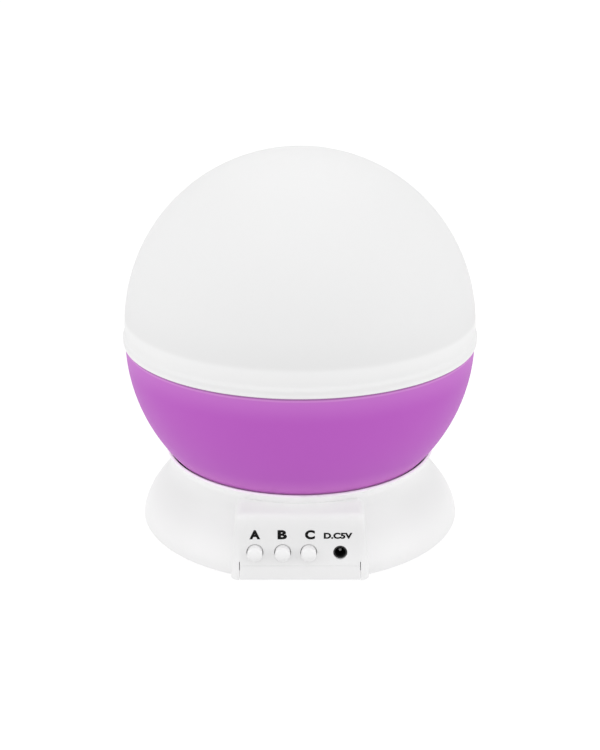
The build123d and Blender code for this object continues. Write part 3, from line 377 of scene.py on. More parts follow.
@dataclass(frozen=True)
class MouldedPlastic(Finish):
    """Opaque moulded plastic: grain and slow waves from the mould, a slight drift of tone, paler edges as a
    painted highlight, and bands of painted light and shade round given heights.

    A bounce above 0 makes the piece throw that share of pale light on its neighbours, in place of its colour.
    """

    roughness: float = 0.4
    grain: float = 0.35
    relief: float = 0.006
    relief_strength: float = 0.5
    # The next two set the painted highlight on outer edges: its share, and how far its colour is lifted towards
    # white
    edge: float = 0.15
    edge_highlight_lift: float = 0.25
    drift: float = 0.02
    drift_size: float = 25.0
    light_share: float = 0.0
    light_depth: float = 0.6
    shine: float = 0.5
    painted_shading_levels: tuple[Level, ...] = ()
    bounce: float = 0.0
    bounce_colour: Colour = (0.8, 0.78, 0.8)

    def shader_inputs(self, graph: Graph) -> Inputs:
        """Make the inputs of the shader.

        Args:
            graph: The material's graph.

        Returns:
            The inputs as values or sockets.
        """
        texture = graph.effect(EFFECTS.mould_texture, {"Grain Size": self.grain, "Roughness": self.roughness})
        colour = drifting(graph, solid_colour(self.colour), self.drift, self.drift_size)
        # Bands of painted light and shade round given heights
        for level in self.painted_shading_levels:
            colour = level.lay(graph, colour)
        # Painted highlight: outer edges paler than the colour
        paler = tuple(part + self.edge_highlight_lift * (1 - part) for part in self.colour)
        edges = {"Color": colour, "Edge Color": solid_colour(paler), "Amount": self.edge}
        colour = graph.effect(EFFECTS.edge_highlight_and_wear, edges)["Color"]
        if self.bounce:
            path = graph.node("ShaderNodeLightPath").outputs
            thrown = graph.maths("MAXIMUM", path["Is Diffuse Ray"], path["Is Glossy Ray"])
            share = graph.maths("MULTIPLY", thrown, self.bounce)
            colour = graph.blend(share, colour, solid_colour(self.bounce_colour))
        return {
            "Base Color": colour,
            "Roughness": texture["Roughness"],
            "Normal": graph.bump(texture["Height"], self.relief_strength, self.relief),
            "Subsurface Weight": self.light_share,
            "Subsurface Scale": self.light_depth * MM,
            "Specular IOR Level": self.shine,
        }


@dataclass(frozen=True)
class MilkyPlastic(Finish):
    """Light-passing plastic that blurs what stands behind it, with bands of painted light and shade round given
    heights.
    """

    clearness: float = 0.3
    roughness: float = 0.6
    variation: float = 0.02
    grain: float = 0.25
    relief: float = 0.004
    relief_strength: float = 0.4
    drift: float = 0.01
    drift_size: float = 60.0
    refraction: float = 1.45
    shine: float = 0.3
    painted_shading_levels: tuple[Level, ...] = ()

    def shader_inputs(self, graph: Graph) -> Inputs:
        """Make the inputs of the shader.

        Args:
            graph: The material's graph.

        Returns:
            The inputs as values or sockets.
        """
        values = {"Grain Size": self.grain, "Roughness": self.roughness, "Variation": self.variation}
        texture = graph.effect(EFFECTS.mould_texture, values)
        colour = drifting(graph, solid_colour(self.colour), self.drift, self.drift_size)
        # Bands of painted light and shade round given heights
        for level in self.painted_shading_levels:
            colour = level.lay(graph, colour)
        return {
            "Base Color": colour,
            "Roughness": texture["Roughness"],
            "Normal": graph.bump(texture["Height"], self.relief_strength, self.relief),
            "Transmission Weight": self.clearness,
            "IOR": self.refraction,
            "Specular IOR Level": self.shine,
        }


@dataclass(frozen=True)
class ClearPlastic(Finish):
    """Clear plastic or a tinted lens, with a trace of haze."""

    roughness: float = 0.05
    haze: float = 0.04
    haze_size: float = 4.0
    drift: float = 0.02
    drift_size: float = 25.0
    refraction: float = 1.49

    def shader_inputs(self, graph: Graph) -> Inputs:
        """Make the inputs of the shader.

        Args:
            graph: The material's graph.

        Returns:
            The inputs as values or sockets.
        """
        haze = graph.maths("MULTIPLY", graph.noise(self.haze_size), self.haze)
        return {
            "Base Color": drifting(graph, solid_colour(self.colour), self.drift, self.drift_size),
            "Roughness": graph.maths("ADD", haze, self.roughness),
            "Transmission Weight": 1.0,
            "IOR": self.refraction,
        }


@dataclass(frozen=True)
class Metal(Finish):
    """Plated, drawn or turned metal."""

    roughness: float = 0.3
    streaks: float = 0.2
    relief: float = 0.004
    relief_strength: float = 0.5
    drift: float = 0.08
    drift_size: float = 3.0

    def shader_inputs(self, graph: Graph) -> Inputs:
        """Make the inputs of the shader.

        Args:
            graph: The material's graph.

        Returns:
            The inputs as values or sockets.
        """
        streaks = graph.effect(EFFECTS.drawn_streaks, {"Size": self.streaks, "Roughness": self.roughness})
        return {
            "Base Color": drifting(graph, solid_colour(self.colour), self.drift, self.drift_size),
            "Metallic": 1.0,
            "Roughness": streaks["Roughness"],
            "Normal": graph.bump(streaks["Height"], self.relief_strength, self.relief),
        }


@dataclass(frozen=True)
class Board(Finish):
    """Circuit board: solder mask over faint copper runs, which lie side by side in square patches."""

    copper: Colour
    copper_share: float = 0.6
    run_pitch: float = 0.8
    run_edge: Span = (0.6, 0.75)
    patch: float = 4.5
    across_share: float = 0.5
    bare_share: float = 0.3
    roughness: float = 0.28
    relief: float = 0.03
    relief_strength: float = 0.4
    drift: float = 0.1
    drift_size: float = 4.0

    def runs(self, graph: Graph) -> Socket:
        """Make the mask of the copper runs.

        Args:
            graph: The material's graph.

        Returns:
            The mask, 1 on a run.
        """
        place = graph.place()
        squares = {"Vector": place, "Scale": 1.0 / (self.patch * MM)}
        patches = graph.node("ShaderNodeTexVoronoi", squares, distance="CHEBYCHEV").outputs["Color"]
        chance = graph.node("ShaderNodeSeparateColor", {0: patches}).outputs
        across = graph.maths("GREATER_THAN", chance[0], self.across_share)
        filled = graph.maths("GREATER_THAN", chance[1], self.bare_share)
        # A Wave texture of scale 1 repeats every pi / 10
        bands = {"Vector": place, "Scale": pi / 10 / (self.run_pitch * MM)}
        ways = [graph.node("ShaderNodeTexWave", bands, bands_direction=way).outputs["Fac"] for way in "XY"]
        return graph.maths("MULTIPLY", graph.ramp(graph.choose(across, *ways), *self.run_edge), filled)

    def shader_inputs(self, graph: Graph) -> Inputs:
        """Make the inputs of the shader.

        Args:
            graph: The material's graph.

        Returns:
            The inputs as values or sockets.
        """
        runs = self.runs(graph)
        share = graph.maths("MULTIPLY", runs, self.copper_share)
        colour = graph.blend(share, solid_colour(self.colour), solid_colour(self.copper))
        return {
            "Base Color": drifting(graph, colour, self.drift, self.drift_size),
            "Roughness": graph.effect(EFFECTS.mould_texture, {"Roughness": self.roughness})["Roughness"],
            "Normal": graph.bump(runs, self.relief_strength, self.relief),
        }


@dataclass(frozen=True)
class Palette:
    """Every finish of the object."""

    cover: MilkyPlastic = MilkyPlastic(
        "Milky cover",
        grey(0.91),
        clearness=0.12,
        painted_shading_levels=(
            # Painted light: a paler band where the white collar stands behind the shell
            Level(grey(0.97), 68.0, 76.0, 78.3),
            # Painted shade: darker just above it, where the black star dome stands behind
            Level(grey(0.893), 76.4, 78.4, 88.0),
            # Painted light: the top paler, as if lit from above
            Level(grey(0.935), 120.0, 136.0, 150.0),
            # Painted highlight: the foot whiter round the seam
            Level(grey(1.0), 67.0, 68.3, 70.0),
        ),
    )
    bowl: MouldedPlastic = MouldedPlastic(
        "Purple bowl",
        (0.48, 0.1, 0.53),
        roughness=0.5,
        # Painted highlight: strongly paler edges on the bowl
        edge=0.8,
        shine=0.25,
        painted_shading_levels=(
            # Painted light: paler towards the seam, as if lit from above
            Level((0.55, 0.16, 0.59), 58.0, 68.4, 69.5),
            # Painted highlight: a pale line just under the cover's lip
            Level((0.62, 0.24, 0.63), 66.3, 66.9, 67.5),
            # Painted shadow: a dark line right under the cover's lip
            Level((0.34, 0.14, 0.35), 67.1, 67.5, 69.5),
            # Painted light: paler pink low down, standing for light thrown up from the white base
            Level((0.6, 0.18, 0.6), 36.0, 25.0, 21.0),
            # Painted light: paler still where the bowl sinks into the rim, lightening the shade of that gap
            Level((0.95, 0.42, 0.95), 28.3, 27.1, 18.0),
        ),
        bounce=0.85,
    )
    housing: MouldedPlastic = MouldedPlastic(
        "White housing",
        grey(0.87),
        roughness=0.36,
        painted_shading_levels=(
            # Painted shade: darker up the flare, fullest round its middle
            Level(grey(0.81), 4.0, 17.0, 25.5),
            # Painted light: the rim paler, lightening the shade under the ball
            Level(grey(0.97), 23.4, 26.2, 32.0),
            # Painted reflection: a pink tint on the rim's crest, for the purple bowl above it
            Level((0.98, 0.82, 0.99), 26.9, 27.7, 32.0),
        ),
    )
    plate: MouldedPlastic = MouldedPlastic("White plate", grey(0.86), 0.46, grain=0.5, relief=0.012)
    collar: MouldedPlastic = MouldedPlastic("White collar", grey(0.9), 0.45)
    button: MouldedPlastic = MouldedPlastic("White button", grey(0.88), 0.3)
    # Painted highlight: paler edges on the black star dome
    mask: MouldedPlastic = MouldedPlastic("Black star dome", (0.012, 0.012, 0.014), 0.38, edge=0.4)
    nylon: MouldedPlastic = MouldedPlastic("Natural nylon", (0.8, 0.78, 0.7), 0.42, light_share=0.15)
    black: MouldedPlastic = MouldedPlastic("Black plastic", grey(0.012), 0.42)
    jack: MouldedPlastic = MouldedPlastic("Jack black", grey(0.006), 0.5, edge=0.05)
    rubber: MouldedPlastic = MouldedPlastic("Soft foot", grey(0.42), 0.75, grain=0.2, relief=0.03)
    ink: MouldedPlastic = MouldedPlastic("Black ink", grey(0.004), 0.6, grain=0.1, edge=0.0, shine=0.1)
    red_sleeve: MouldedPlastic = MouldedPlastic("Red wire", (0.5, 0.02, 0.02), 0.45)
    clear: ClearPlastic = ClearPlastic("Clear dome", (0.96, 0.97, 0.98))
    zinc: Metal = Metal("Zinc screw", (0.62, 0.63, 0.65), 0.32)
    steel: Metal = Metal("Ground steel", (0.66, 0.66, 0.67), 0.22, streaks=0.1)
    can: Metal = Metal("Plated can", (0.62, 0.62, 0.6), 0.35, streaks=0.4)
    brass: Metal = Metal("Turned brass", (0.78, 0.57, 0.24), 0.28)
    nickel: Metal = Metal("Nickel strip", (0.72, 0.7, 0.66), 0.25)
    # Painted shade: the jack's pin is much darker than plated metal, to dim its glint deep in the socket
    shaded_jack_pin: Metal = Metal("Shaded jack pin", grey(0.16), 0.4, streaks=0.1)
    sleeve: Metal = Metal("Cell sleeve", (0.1, 0.16, 0.24), 0.3, streaks=0.6)
    band: Metal = Metal("Cell band", (0.7, 0.71, 0.72), 0.34, streaks=0.6)
    chip: MouldedPlastic = MouldedPlastic("Light chip", (0.85, 0.72, 0.25), 0.4, grain=0.05)
    board: Board = Board("Solder mask", (0.01, 0.1, 0.04), copper=(0.05, 0.24, 0.08))


PALETTE = Palette()


class Paint:
    """Materials by finish, each built once."""

    def __init__(self) -> None:
        """Start with no material built."""
        self.made: dict[str, bpy.types.Material] = {}

    def of(self, finish: Finish) -> bpy.types.Material:
        """The material of a finish.

        Args:
            finish: The finish.

        Returns:
            The material.
        """
        if finish.name not in self.made:
            self.made[finish.name] = finish.build()
        return self.made[finish.name]

    def dress(self, finish: Finish, *nodes: str) -> None:
        """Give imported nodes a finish.

        Args:
            finish: The finish.
            nodes: Names of the nodes.
        """
        for name in nodes:
            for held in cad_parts[name].material_slots:
                held.material = self.of(finish)
            LOG.info("dressed %s in %s", name, finish.name)


PAINT = Paint()


# ---------------------------------------------------------------- meshes


def packed(node: str) -> tuple[Vector, Vector]:
    """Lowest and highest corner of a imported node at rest, in millimetres."""
    low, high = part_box(node)
    return low / MM, high / MM


def span(middle: float, half: float) -> Span:
    """Range of a half width each side of a middle."""
    return (middle - half, middle + half)


def inset(ends: Span, step: float) -> Span:
    """Range drawn in by a step at each end."""
    return (ends[0] + step, ends[1] - step)


def raised(points: Outline, height: float) -> list[Span]:
    """Outline points with their heights counted from another height."""
    return [(radius, height + rise) for radius, rise in points]


def at(x: float, y: float, z: float = 0.0) -> Matrix:
    """Shift by millimetres."""
    return Matrix.Translation((x * MM, y * MM, z * MM))


def point_at(radius: float, turn: float, height: float) -> Point:
    """Point in metres, from millimetres and a turn round Z in radians."""
    reach = radius * MM
    return (reach * cos(turn), reach * sin(turn), height * MM)


def surface_of_rings(solid: Solid, rings: list[list[bmesh.types.BMVert]], capped: bool = False) -> None:
    """Join neighbouring rings of points with faces.

    Args:
        solid: The mesh that holds the points.
        rings: Rings of as many points each; a ring may be one point, repeated.
        capped: The first and last ring are closed with a face.
    """
    for low, high in zip(rings, rings[1:]):
        for step in range(len(low)):
            after = (step + 1) % len(low)
            corners = dict.fromkeys((low[step], low[after], high[after], high[step]))
            if len(corners) > 2:
                solid.faces.new(corners)
    if capped:
        for ring in (rings[0], rings[-1]):
            solid.faces.new(ring)
    bmesh.ops.recalc_face_normals(solid, faces=solid.faces[:])


def turned(profile: list[Span], steps: int = 48, ring: bool = False) -> Solid:
    """Turn an outline of (radius, height) about Z.

    Args:
        profile: The outline in millimetres, from the axis to the axis.
        steps: Sides of the turned shape.
        ring: The outline is a loop that ends where it starts.

    Returns:
        The closed mesh.
    """
    solid = bmesh.new()
    rings = []
    for radius, height in profile:
        if radius == 0:
            rings.append([solid.verts.new((0, 0, height * MM))] * steps)
            continue
        turns = [tau * step / steps for step in range(steps)]
        rings.append([solid.verts.new(point_at(radius, turn, height)) for turn in turns])
    surface_of_rings(solid, rings + rings[:1] if ring else rings)
    return solid


def quarter_arc(radius: float, centre: float, steps: int) -> list[Span]:
    """Quarter circle of (radius, height), from level with its centre up to the axis."""
    rises = [step / steps * pi / 2 for step in range(steps)]
    return [(radius * cos(rise), centre + radius * sin(rise)) for rise in rises] + [(0, centre + radius)]


def block(x: Span, y: Span, z: Span, round_off: float) -> Solid:
    """Block with rounded edges.

    Args:
        x: Low and high end along X, in millimetres.
        y: Low and high end along Y.
        z: Low and high end along Z.
        round_off: Radius of the edges.

    Returns:
        The closed mesh.
    """
    solid = bmesh.new()
    bmesh.ops.create_cube(solid, size=1.0)
    size = Vector((high - low) * MM for low, high in (x, y, z))
    middle = Vector((high + low) / 2 * MM for low, high in (x, y, z))
    moved(solid, Matrix.LocRotScale(middle, None, size))
    edges = solid.edges[:]
    bmesh.ops.bevel(solid, geom=edges, offset=round_off * MM, segments=2, profile=0.5, affect="EDGES")
    return solid


def cross_prism(reach: float, arm: float, depth: float, stand: float = 0.2, taper: float = 0.55) -> Solid:
    """Tapered cross that cuts a recess, from just above height 0 down.

    Args:
        reach: Half of the cross's span.
        arm: Half of an arm's width.
        depth: Depth of the recess.
        stand: How far the cross stands over height 0.
        taper: Share of the reach that is left at the bottom.

    Returns:
        The closed mesh.
    """
    solid = bmesh.new()
    rings = []
    for height, share in ((stand, 1.0), (0.0, 1.0), (-depth, taper)):
        ring = []
        for quarter in range(4):
            turn = Matrix.Rotation(quarter * pi / 2, 3, "Z")
            for along, aside in ((reach * share, -arm), (reach * share, arm), (arm, arm)):
                ring.append(solid.verts.new(turn @ Vector((along * MM, aside * MM, height * MM))))
        rings.append(ring)
    surface_of_rings(solid, rings, capped=True)
    return solid


def thread(radius: float, length: float, pitch: float, core: float = 0.78, tip: float = 0.4) -> Solid:
    """Helical thread with a narrowed end, from height 0 down.

    Args:
        radius: Outer radius in millimetres.
        length: Length of the shank.
        pitch: Rise of one turn.
        core: Radius between the ridges, as a share.
        tip: Radius of the end, as a share.

    Returns:
        The closed mesh.
    """
    steps, rows_a_turn = 24, 6
    solid = bmesh.new()
    rows = round(rows_a_turn * length / pitch)
    rings = []
    for row in range(rows + 1):
        height = -length * row / rows
        narrowed = min(1.0, tip + (length + height) / (2 * radius))
        ring = []
        for step in range(steps):
            ridge = abs(2 * ((height / pitch + step / steps) % 1.0) - 1)
            reach = radius * narrowed * (core + (1 - core) * ridge)
            ring.append(solid.verts.new(point_at(reach, tau * step / steps, height)))
        rings.append(ring)
    surface_of_rings(solid, rings, capped=True)
    return solid


def moved(solid: Solid, place: Matrix) -> Solid:
    """Move a solid, and hand it back."""
    bmesh.ops.transform(solid, matrix=place, verts=solid.verts[:])
    return solid


def opened(mesh: bpy.types.Mesh) -> Solid:
    """Open a mesh for more work, which uses the mesh up.

    Args:
        mesh: The mesh.

    Returns:
        The open mesh.
    """
    solid = bmesh.new()
    solid.from_mesh(mesh)
    bpy.data.meshes.remove(mesh)
    return solid


def as_mesh(name: str, *solids: Solid) -> bpy.types.Mesh:
    """Join closed meshes in one, smooth but for its sharp edges.

    Args:
        name: The mesh's name.
        solids: The meshes, which are used up.

    Returns:
        The joined mesh.
    """
    joined = bmesh.new()
    for solid in solids:
        draft = bpy.data.meshes.new("draft")
        solid.to_mesh(draft)
        solid.free()
        joined.from_mesh(draft)
        bpy.data.meshes.remove(draft)
    mesh = bpy.data.meshes.new(name)
    joined.to_mesh(mesh)
    joined.free()
    mesh.polygons.foreach_set("use_smooth", [True] * len(mesh.polygons))
    mesh.set_sharp_from_angle(angle=radians(SMOOTH_ANGLE))
    return mesh


def repeated(mesh: bpy.types.Mesh, places: list[Matrix]) -> bpy.types.Mesh:
    """Copy a mesh to several places.

    Args:
        mesh: The mesh, which is used up.
        places: Where the copies go.

    Returns:
        One mesh of all the copies.
    """
    made = as_mesh(mesh.name, *(moved(opened(mesh.copy()), place) for place in places))
    bpy.data.meshes.remove(mesh)
    return made


def linked(name: str, data: bpy.types.ID) -> bpy.types.Object:
    """Make an object of some data in the scene.

    Args:
        name: The object's name.
        data: Its mesh, curve, light or camera.

    Returns:
        The object.
    """
    thing = bpy.data.objects.new(name, data)
    bpy.context.scene.collection.objects.link(thing)
    return thing


def evaluated_mesh(thing: bpy.types.Object) -> bpy.types.Mesh:
    """Mesh of an object with its modifiers or its text worked out."""
    bpy.context.view_layer.update()
    return bpy.data.meshes.new_from_object(thing.evaluated_get(bpy.context.evaluated_depsgraph_get()))


def cut(solid: Solid, *holes: Solid) -> Solid:
    """Cut holes out of a solid.

    Args:
        solid: The solid that is cut, which is used up.
        holes: The shapes taken out, which are used up.

    Returns:
        The cut solid.
    """
    meshes = [as_mesh("solid", solid), as_mesh("holes", *holes)]
    held = [linked(mesh.name, mesh) for mesh in meshes]
    opening = held[0].modifiers.new("Opening", "BOOLEAN")
    opening.operation = "DIFFERENCE"
    opening.solver = "EXACT"
    opening.object = held[1]
    made = evaluated_mesh(held[0])
    for thing, mesh in zip(held, meshes):
        bpy.data.objects.remove(thing)
        bpy.data.meshes.remove(mesh)
    return opened(made)


def as_piece(name: str, mesh: bpy.types.Mesh, finish: Finish, body: Body) -> bpy.types.Object:
    """Make a mesh an object in the scene that rides on a body.

    Args:
        name: The piece's name.
        mesh: Its mesh, already in place.
        finish: Its finish.
        body: The body that it rides on.

    Returns:
        The object.
    """
    piece = linked(name, mesh)
    mesh.materials.append(PAINT.of(finish))
    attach(piece, body.value)
    LOG.info("made %s on %s", name, body.value)
    return piece


# ---------------------------------------------------------------- fasteners


class Head(Enum):
    """Shapes of a screw's head."""

    PAN = "pan"
    COUNTERSUNK = "countersunk"


@dataclass(frozen=True)
class ScrewSet:
    """Screws of one kind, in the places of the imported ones, whose box gives their height and length.

    The cross's reach and arm are shares of the head's radius, its depth and the brow's curve shares of the
    head's height, and the neck a share of the thread's radius. Turns are in radians.
    """

    node: str
    places: Outline
    head_radius: float
    head_height: float
    radius: float
    body: Body = Body.BASE
    head: Head = Head.PAN
    upward: bool = False
    pitch: float = 0.7
    cross_reach: float = 0.58
    cross_arm: float = 0.16
    cross_depth: float = 0.62
    brow: float = 0.55
    brow_steps: int = 5
    neck: float = 0.8
    rim: float = 0.05
    first_turn: float = 0.6
    next_turn: float = 1.9

    def profile(self) -> list[Span]:
        """Outline of the head over its seat.

        Returns:
            Its points as (radius, height).
        """
        wide, tall, rim = self.head_radius, self.head_height, self.rim
        if self.head is Head.COUNTERSUNK:
            return [(0, tall), (wide - rim, tall), (wide, tall - rim), (self.neck * self.radius, 0), (0, 0)]
        curve = self.brow * tall
        turns = [step * pi / (2 * self.brow_steps) for step in range(self.brow_steps + 1)]
        edge = [(wide - curve + curve * sin(turn), tall - curve + curve * cos(turn)) for turn in turns]
        return [(0, tall), *edge, (wide, 0), (0, 0)]

    def build(self) -> None:
        """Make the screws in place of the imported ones."""
        wide, tall = self.head_radius, self.head_height
        low, high = packed(self.node)
        seat = low.z + tall if self.upward else high.z - tall
        length = high.z - low.z - tall
        cross = cross_prism(self.cross_reach * wide, self.cross_arm * wide, self.cross_depth * tall)
        head = cut(turned(self.profile()), moved(cross, at(0, 0, tall)))
        name = f"{self.node}_detailed"
        screw = as_mesh(name, head, thread(self.radius, length, self.pitch))
        way = Matrix.Rotation(pi if self.upward else 0.0, 4, "X")
        places = []
        for number, (x, y) in enumerate(self.places):
            turn = Matrix.Rotation(self.first_turn + self.next_turn * number, 4, "Z")
            places.append(at(x, y, seat) @ way @ turn)
        piece = as_piece(name, repeated(screw, places), PALETTE.zinc, self.body)
        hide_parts(self.node)


def ring_places(radius: float, count: int, first: float = 0.0) -> Outline:
    """Places spaced evenly round the axis.

    Args:
        radius: Radius of the ring in millimetres.
        count: How many places.
        first: Bearing of the first, in degrees.

    Returns:
        The places as (x, y).
    """
    turns = [radians(first) + tau * number / count for number in range(count)]
    return tuple((radius * cos(turn), radius * sin(turn)) for turn in turns)


# ---------------------------------------------------------------- sub-assemblies


@dataclass
class Ball:
    """The turning ball: cover, bowl, collar, star dome, clear dome and hub."""

    hub_screws: ScrewSet = ScrewSet(
        "hub_screws",
        ring_places(10.8, 3),
        head_radius=2.1,
        head_height=1.4,
        radius=1.1,
        body=Body.BALL,
    )
    cover_radius: float = 62.2
    cover_centre: float = 72.8
    cover_steps: int = 60
    cover_sides: int = 192
    inner_radius: float = 60.7
    inner_centre: float = 72.7
    inner_steps: int = 40
    cover_foot: float = 68.5
    lip_radius: float = 62.9
    lip_inner: float = 62.32
    lip_foot: float = 68.0
    lip_chamfer: float = 0.25
    lip_chamfer_knee: float = 0.3
    lip_top: float = 70.2
    lip_blend: float = 1.8
    blend_steps: int = 8

    def build(self) -> None:
        """Dress the ball's pieces."""
        self.build_cover()
        PAINT.dress(PALETTE.bowl, "bowl")
        PAINT.dress(PALETTE.collar, "rim_collar")
        PAINT.dress(PALETTE.mask, "star_mask")
        PAINT.dress(PALETTE.clear, "clear_dome")
        PAINT.dress(PALETTE.nylon, "hub_gear")
        self.hub_screws.build()

    def lip_outline(self) -> list[Span]:
        """Outline of the cover's foot and its lip, from the inner wall round to where the dome starts.

        Returns:
            Its points as (radius, height).
        """
        foot, lip, chamfer = self.lip_foot, self.lip_radius, self.lip_chamfer
        knee = self.lip_chamfer_knee * chamfer
        outline = [(self.inner_radius, self.cover_foot), (self.lip_inner, self.cover_foot)]
        outline += [(self.lip_inner, foot), (lip - chamfer, foot), (lip - knee, foot + knee)]
        outline += [(lip, foot + chamfer), (lip, self.lip_top)]
        for step in range(1, self.blend_steps + 1):
            share = step / self.blend_steps
            eased = share * share * (3 - 2 * share)
            radius = lip + (self.cover_radius - lip) * eased
            outline.append((radius, self.lip_top + self.lip_blend * share))
        return outline

    def build_cover(self) -> None:
        """Make the cover: a thin shell whose foot swells to a small lip that laps over the seam."""
        outer = quarter_arc(self.cover_radius, self.cover_centre, self.cover_steps)
        inner = quarter_arc(self.inner_radius, self.inner_centre, self.inner_steps)
        shell = turned([*self.lip_outline(), *outer, *reversed(inner)], self.cover_sides, ring=True)
        mesh = as_mesh("cover_shell", shell)
        piece = as_piece("cover_shell", mesh, PALETTE.cover, Body.COVER)
        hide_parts("diffuser_cover")


@dataclass
class BaseShell:
    """The white base: housing, plate, door, feet and screws."""

    base_screws: ScrewSet = ScrewSet(
        "base_screws",
        ((-41, -24), (41, -24), (-36, 30), (36, 30)),
        head_radius=2.6,
        head_height=1.0,
        radius=1.25,
        upward=True,
    )
    gear_plate_screws: ScrewSet = ScrewSet(
        "gear_plate_screws",
        ((-24, 22), (15, 33), (4, 12.5)),
        head_radius=1.8,
        head_height=1.3,
        radius=0.9,
    )
    column_screws: ScrewSet = ScrewSet(
        "column_screws",
        ring_places(9.8, 4, first=45.0),
        head_radius=1.9,
        head_height=1.1,
        radius=0.8,
        head=Head.COUNTERSUNK,
    )

    def build(self) -> None:
        """Dress the base's shells and set their screws."""
        PAINT.dress(PALETTE.housing, "base_housing")
        PAINT.dress(PALETTE.plate, "base_plate", "battery_door", "gear_plate")
        PAINT.dress(PALETTE.collar, "centre_column")
        PAINT.dress(PALETTE.rubber, "rubber_feet")
        PAINT.dress(PALETTE.nylon, "thrust_ring")
        for screws in (self.base_screws, self.gear_plate_screws, self.column_screws):
            screws.build()


@dataclass(frozen=True)
class Chip:
    """A chip on the control board, with bent legs along its two long sides."""

    x: Span = (-5.0, 0.0)
    y: Span = (-46.0, -42.2)
    top: float = 7.6
    stand: float = 0.15
    leg_count: int = 4
    leg_half: float = 0.2
    leg_reach: float = 0.7
    leg_bite: float = 0.2
    foot_thickness: float = 0.16
    knee_height: float = 0.85
    edge: float = 0.12
    foot_edge: float = 0.04
    knee_edge: float = 0.06

    def body(self, low: float) -> Solid:
        """Body over a board whose top is at a height."""
        return block(self.x, inset(self.y, self.leg_reach), (low + self.stand, self.top), self.edge)

    def legs(self, low: float) -> list[Solid]:
        """Make the legs: each has a foot on the board and a knee that goes into the body.

        Args:
            low: Height of the board's top.

        Returns:
            The closed meshes.
        """
        pitch = (self.x[1] - self.x[0]) / self.leg_count
        solids = []
        for number in range(self.leg_count):
            x = span(self.x[0] + pitch * (number + 0.5), self.leg_half)
            for toe, wall in zip(self.y, inset(self.y, self.leg_reach)):
                knee = (toe + wall) / 2
                end = wall + (wall - toe) * self.leg_bite
                foot_z, knee_z = (low, low + self.foot_thickness), (low, low + self.knee_height)
                solids.append(block(x, tuple(sorted((toe, knee))), foot_z, self.foot_edge))
                solids.append(block(x, tuple(sorted((knee, end))), knee_z, self.knee_edge))
        return solids


@dataclass(frozen=True)
class Connector:
    """A connector on the control board, with a pocket and a pin for each wire."""

    x: Span = (-14.5, -8.5)
    y: Span = (-45.6, -42.4)
    top: float = 9.5
    ways: int = 3
    pitch: float = 1.3
    wall: float = 0.7
    pocket_half: float = 0.52
    pocket_floor: float = 1.4
    pocket_overrun: float = 0.5
    pin_half: float = 0.25
    pin_gap: float = 0.2
    pin_height: float = 2.4
    edge: float = 0.2
    pocket_edge: float = 0.03
    pin_edge: float = 0.05

    def ways_x(self) -> list[float]:
        """Middle of each way along X."""
        middle = sum(self.x) / 2
        return [middle + self.pitch * (way - (self.ways - 1) / 2) for way in range(self.ways)]

    def body(self, low: float) -> Solid:
        """Make the body with its pockets.

        Args:
            low: Height of the board's top.

        Returns:
            The closed mesh.
        """
        inner, depth = inset(self.y, self.wall), (low + self.pocket_floor, self.top + self.pocket_overrun)
        pockets = [block(span(x, self.pocket_half), inner, depth, self.pocket_edge) for x in self.ways_x()]
        return cut(block(self.x, self.y, (low, self.top), self.edge), *pockets)

    def pins(self, low: float) -> list[Solid]:
        """Make the pins, near the pockets' back wall.

        Args:
            low: Height of the board's top.

        Returns:
            The closed meshes.
        """
        back = self.y[1] - self.wall - self.pin_gap
        sides, height = (back - 2 * self.pin_half, back), (low, low + self.pin_height)
        return [block(span(x, self.pin_half), sides, height, self.pin_edge) for x in self.ways_x()]


@dataclass(frozen=True)
class Capacitor:
    """A capacitor on the control board: a sleeve rolled over its scored lid, and a crimp near its foot.

    The foot's points are distances in from the radius, and heights over the board.
    """

    place: Span = (5.0, -43.6)
    radius: float = 2.4
    top: float = 12.0
    foot: Outline = ((0.5, 0.3), (0.25, 0.1), (0.0, 0.5), (0.0, 0.9), (0.2, 1.15), (0.0, 1.4))
    corner: float = 0.3
    rim: float = 0.5
    rim_drop: float = 0.15
    lid_gap: float = 0.05
    lid_foot: float = 0.3
    score_margin: float = 1.0
    score_half: float = 0.1
    score_depth: float = 0.12
    sides: int = 40

    def sleeve(self, low: float) -> Solid:
        """Make the sleeve.

        Args:
            low: Height of the board's top.

        Returns:
            The closed mesh.
        """
        wide, top, rim = self.radius, self.top, self.radius - self.rim
        outline = [(0, low + self.foot[0][1]), *((wide - depth, low + rise) for depth, rise in self.foot)]
        outline += [(wide, top - self.corner), (wide - self.corner, top), (rim, top)]
        outline += [(rim, top - self.rim_drop), (0, top - self.rim_drop)]
        return moved(turned(outline, self.sides), at(*self.place))

    def lid(self) -> Solid:
        """Make the lid with its cross score.

        Returns:
            The closed mesh.
        """
        wide, top = self.radius - self.rim - self.lid_gap, self.top - self.lid_gap
        foot = self.top - self.lid_foot
        disc = turned([(0, top), (wide, top), (wide, foot), (0, foot)])
        score = cross_prism(self.radius - self.score_margin, self.score_half, self.score_depth)
        return moved(cut(disc, moved(score, at(0, 0, top))), at(*self.place))


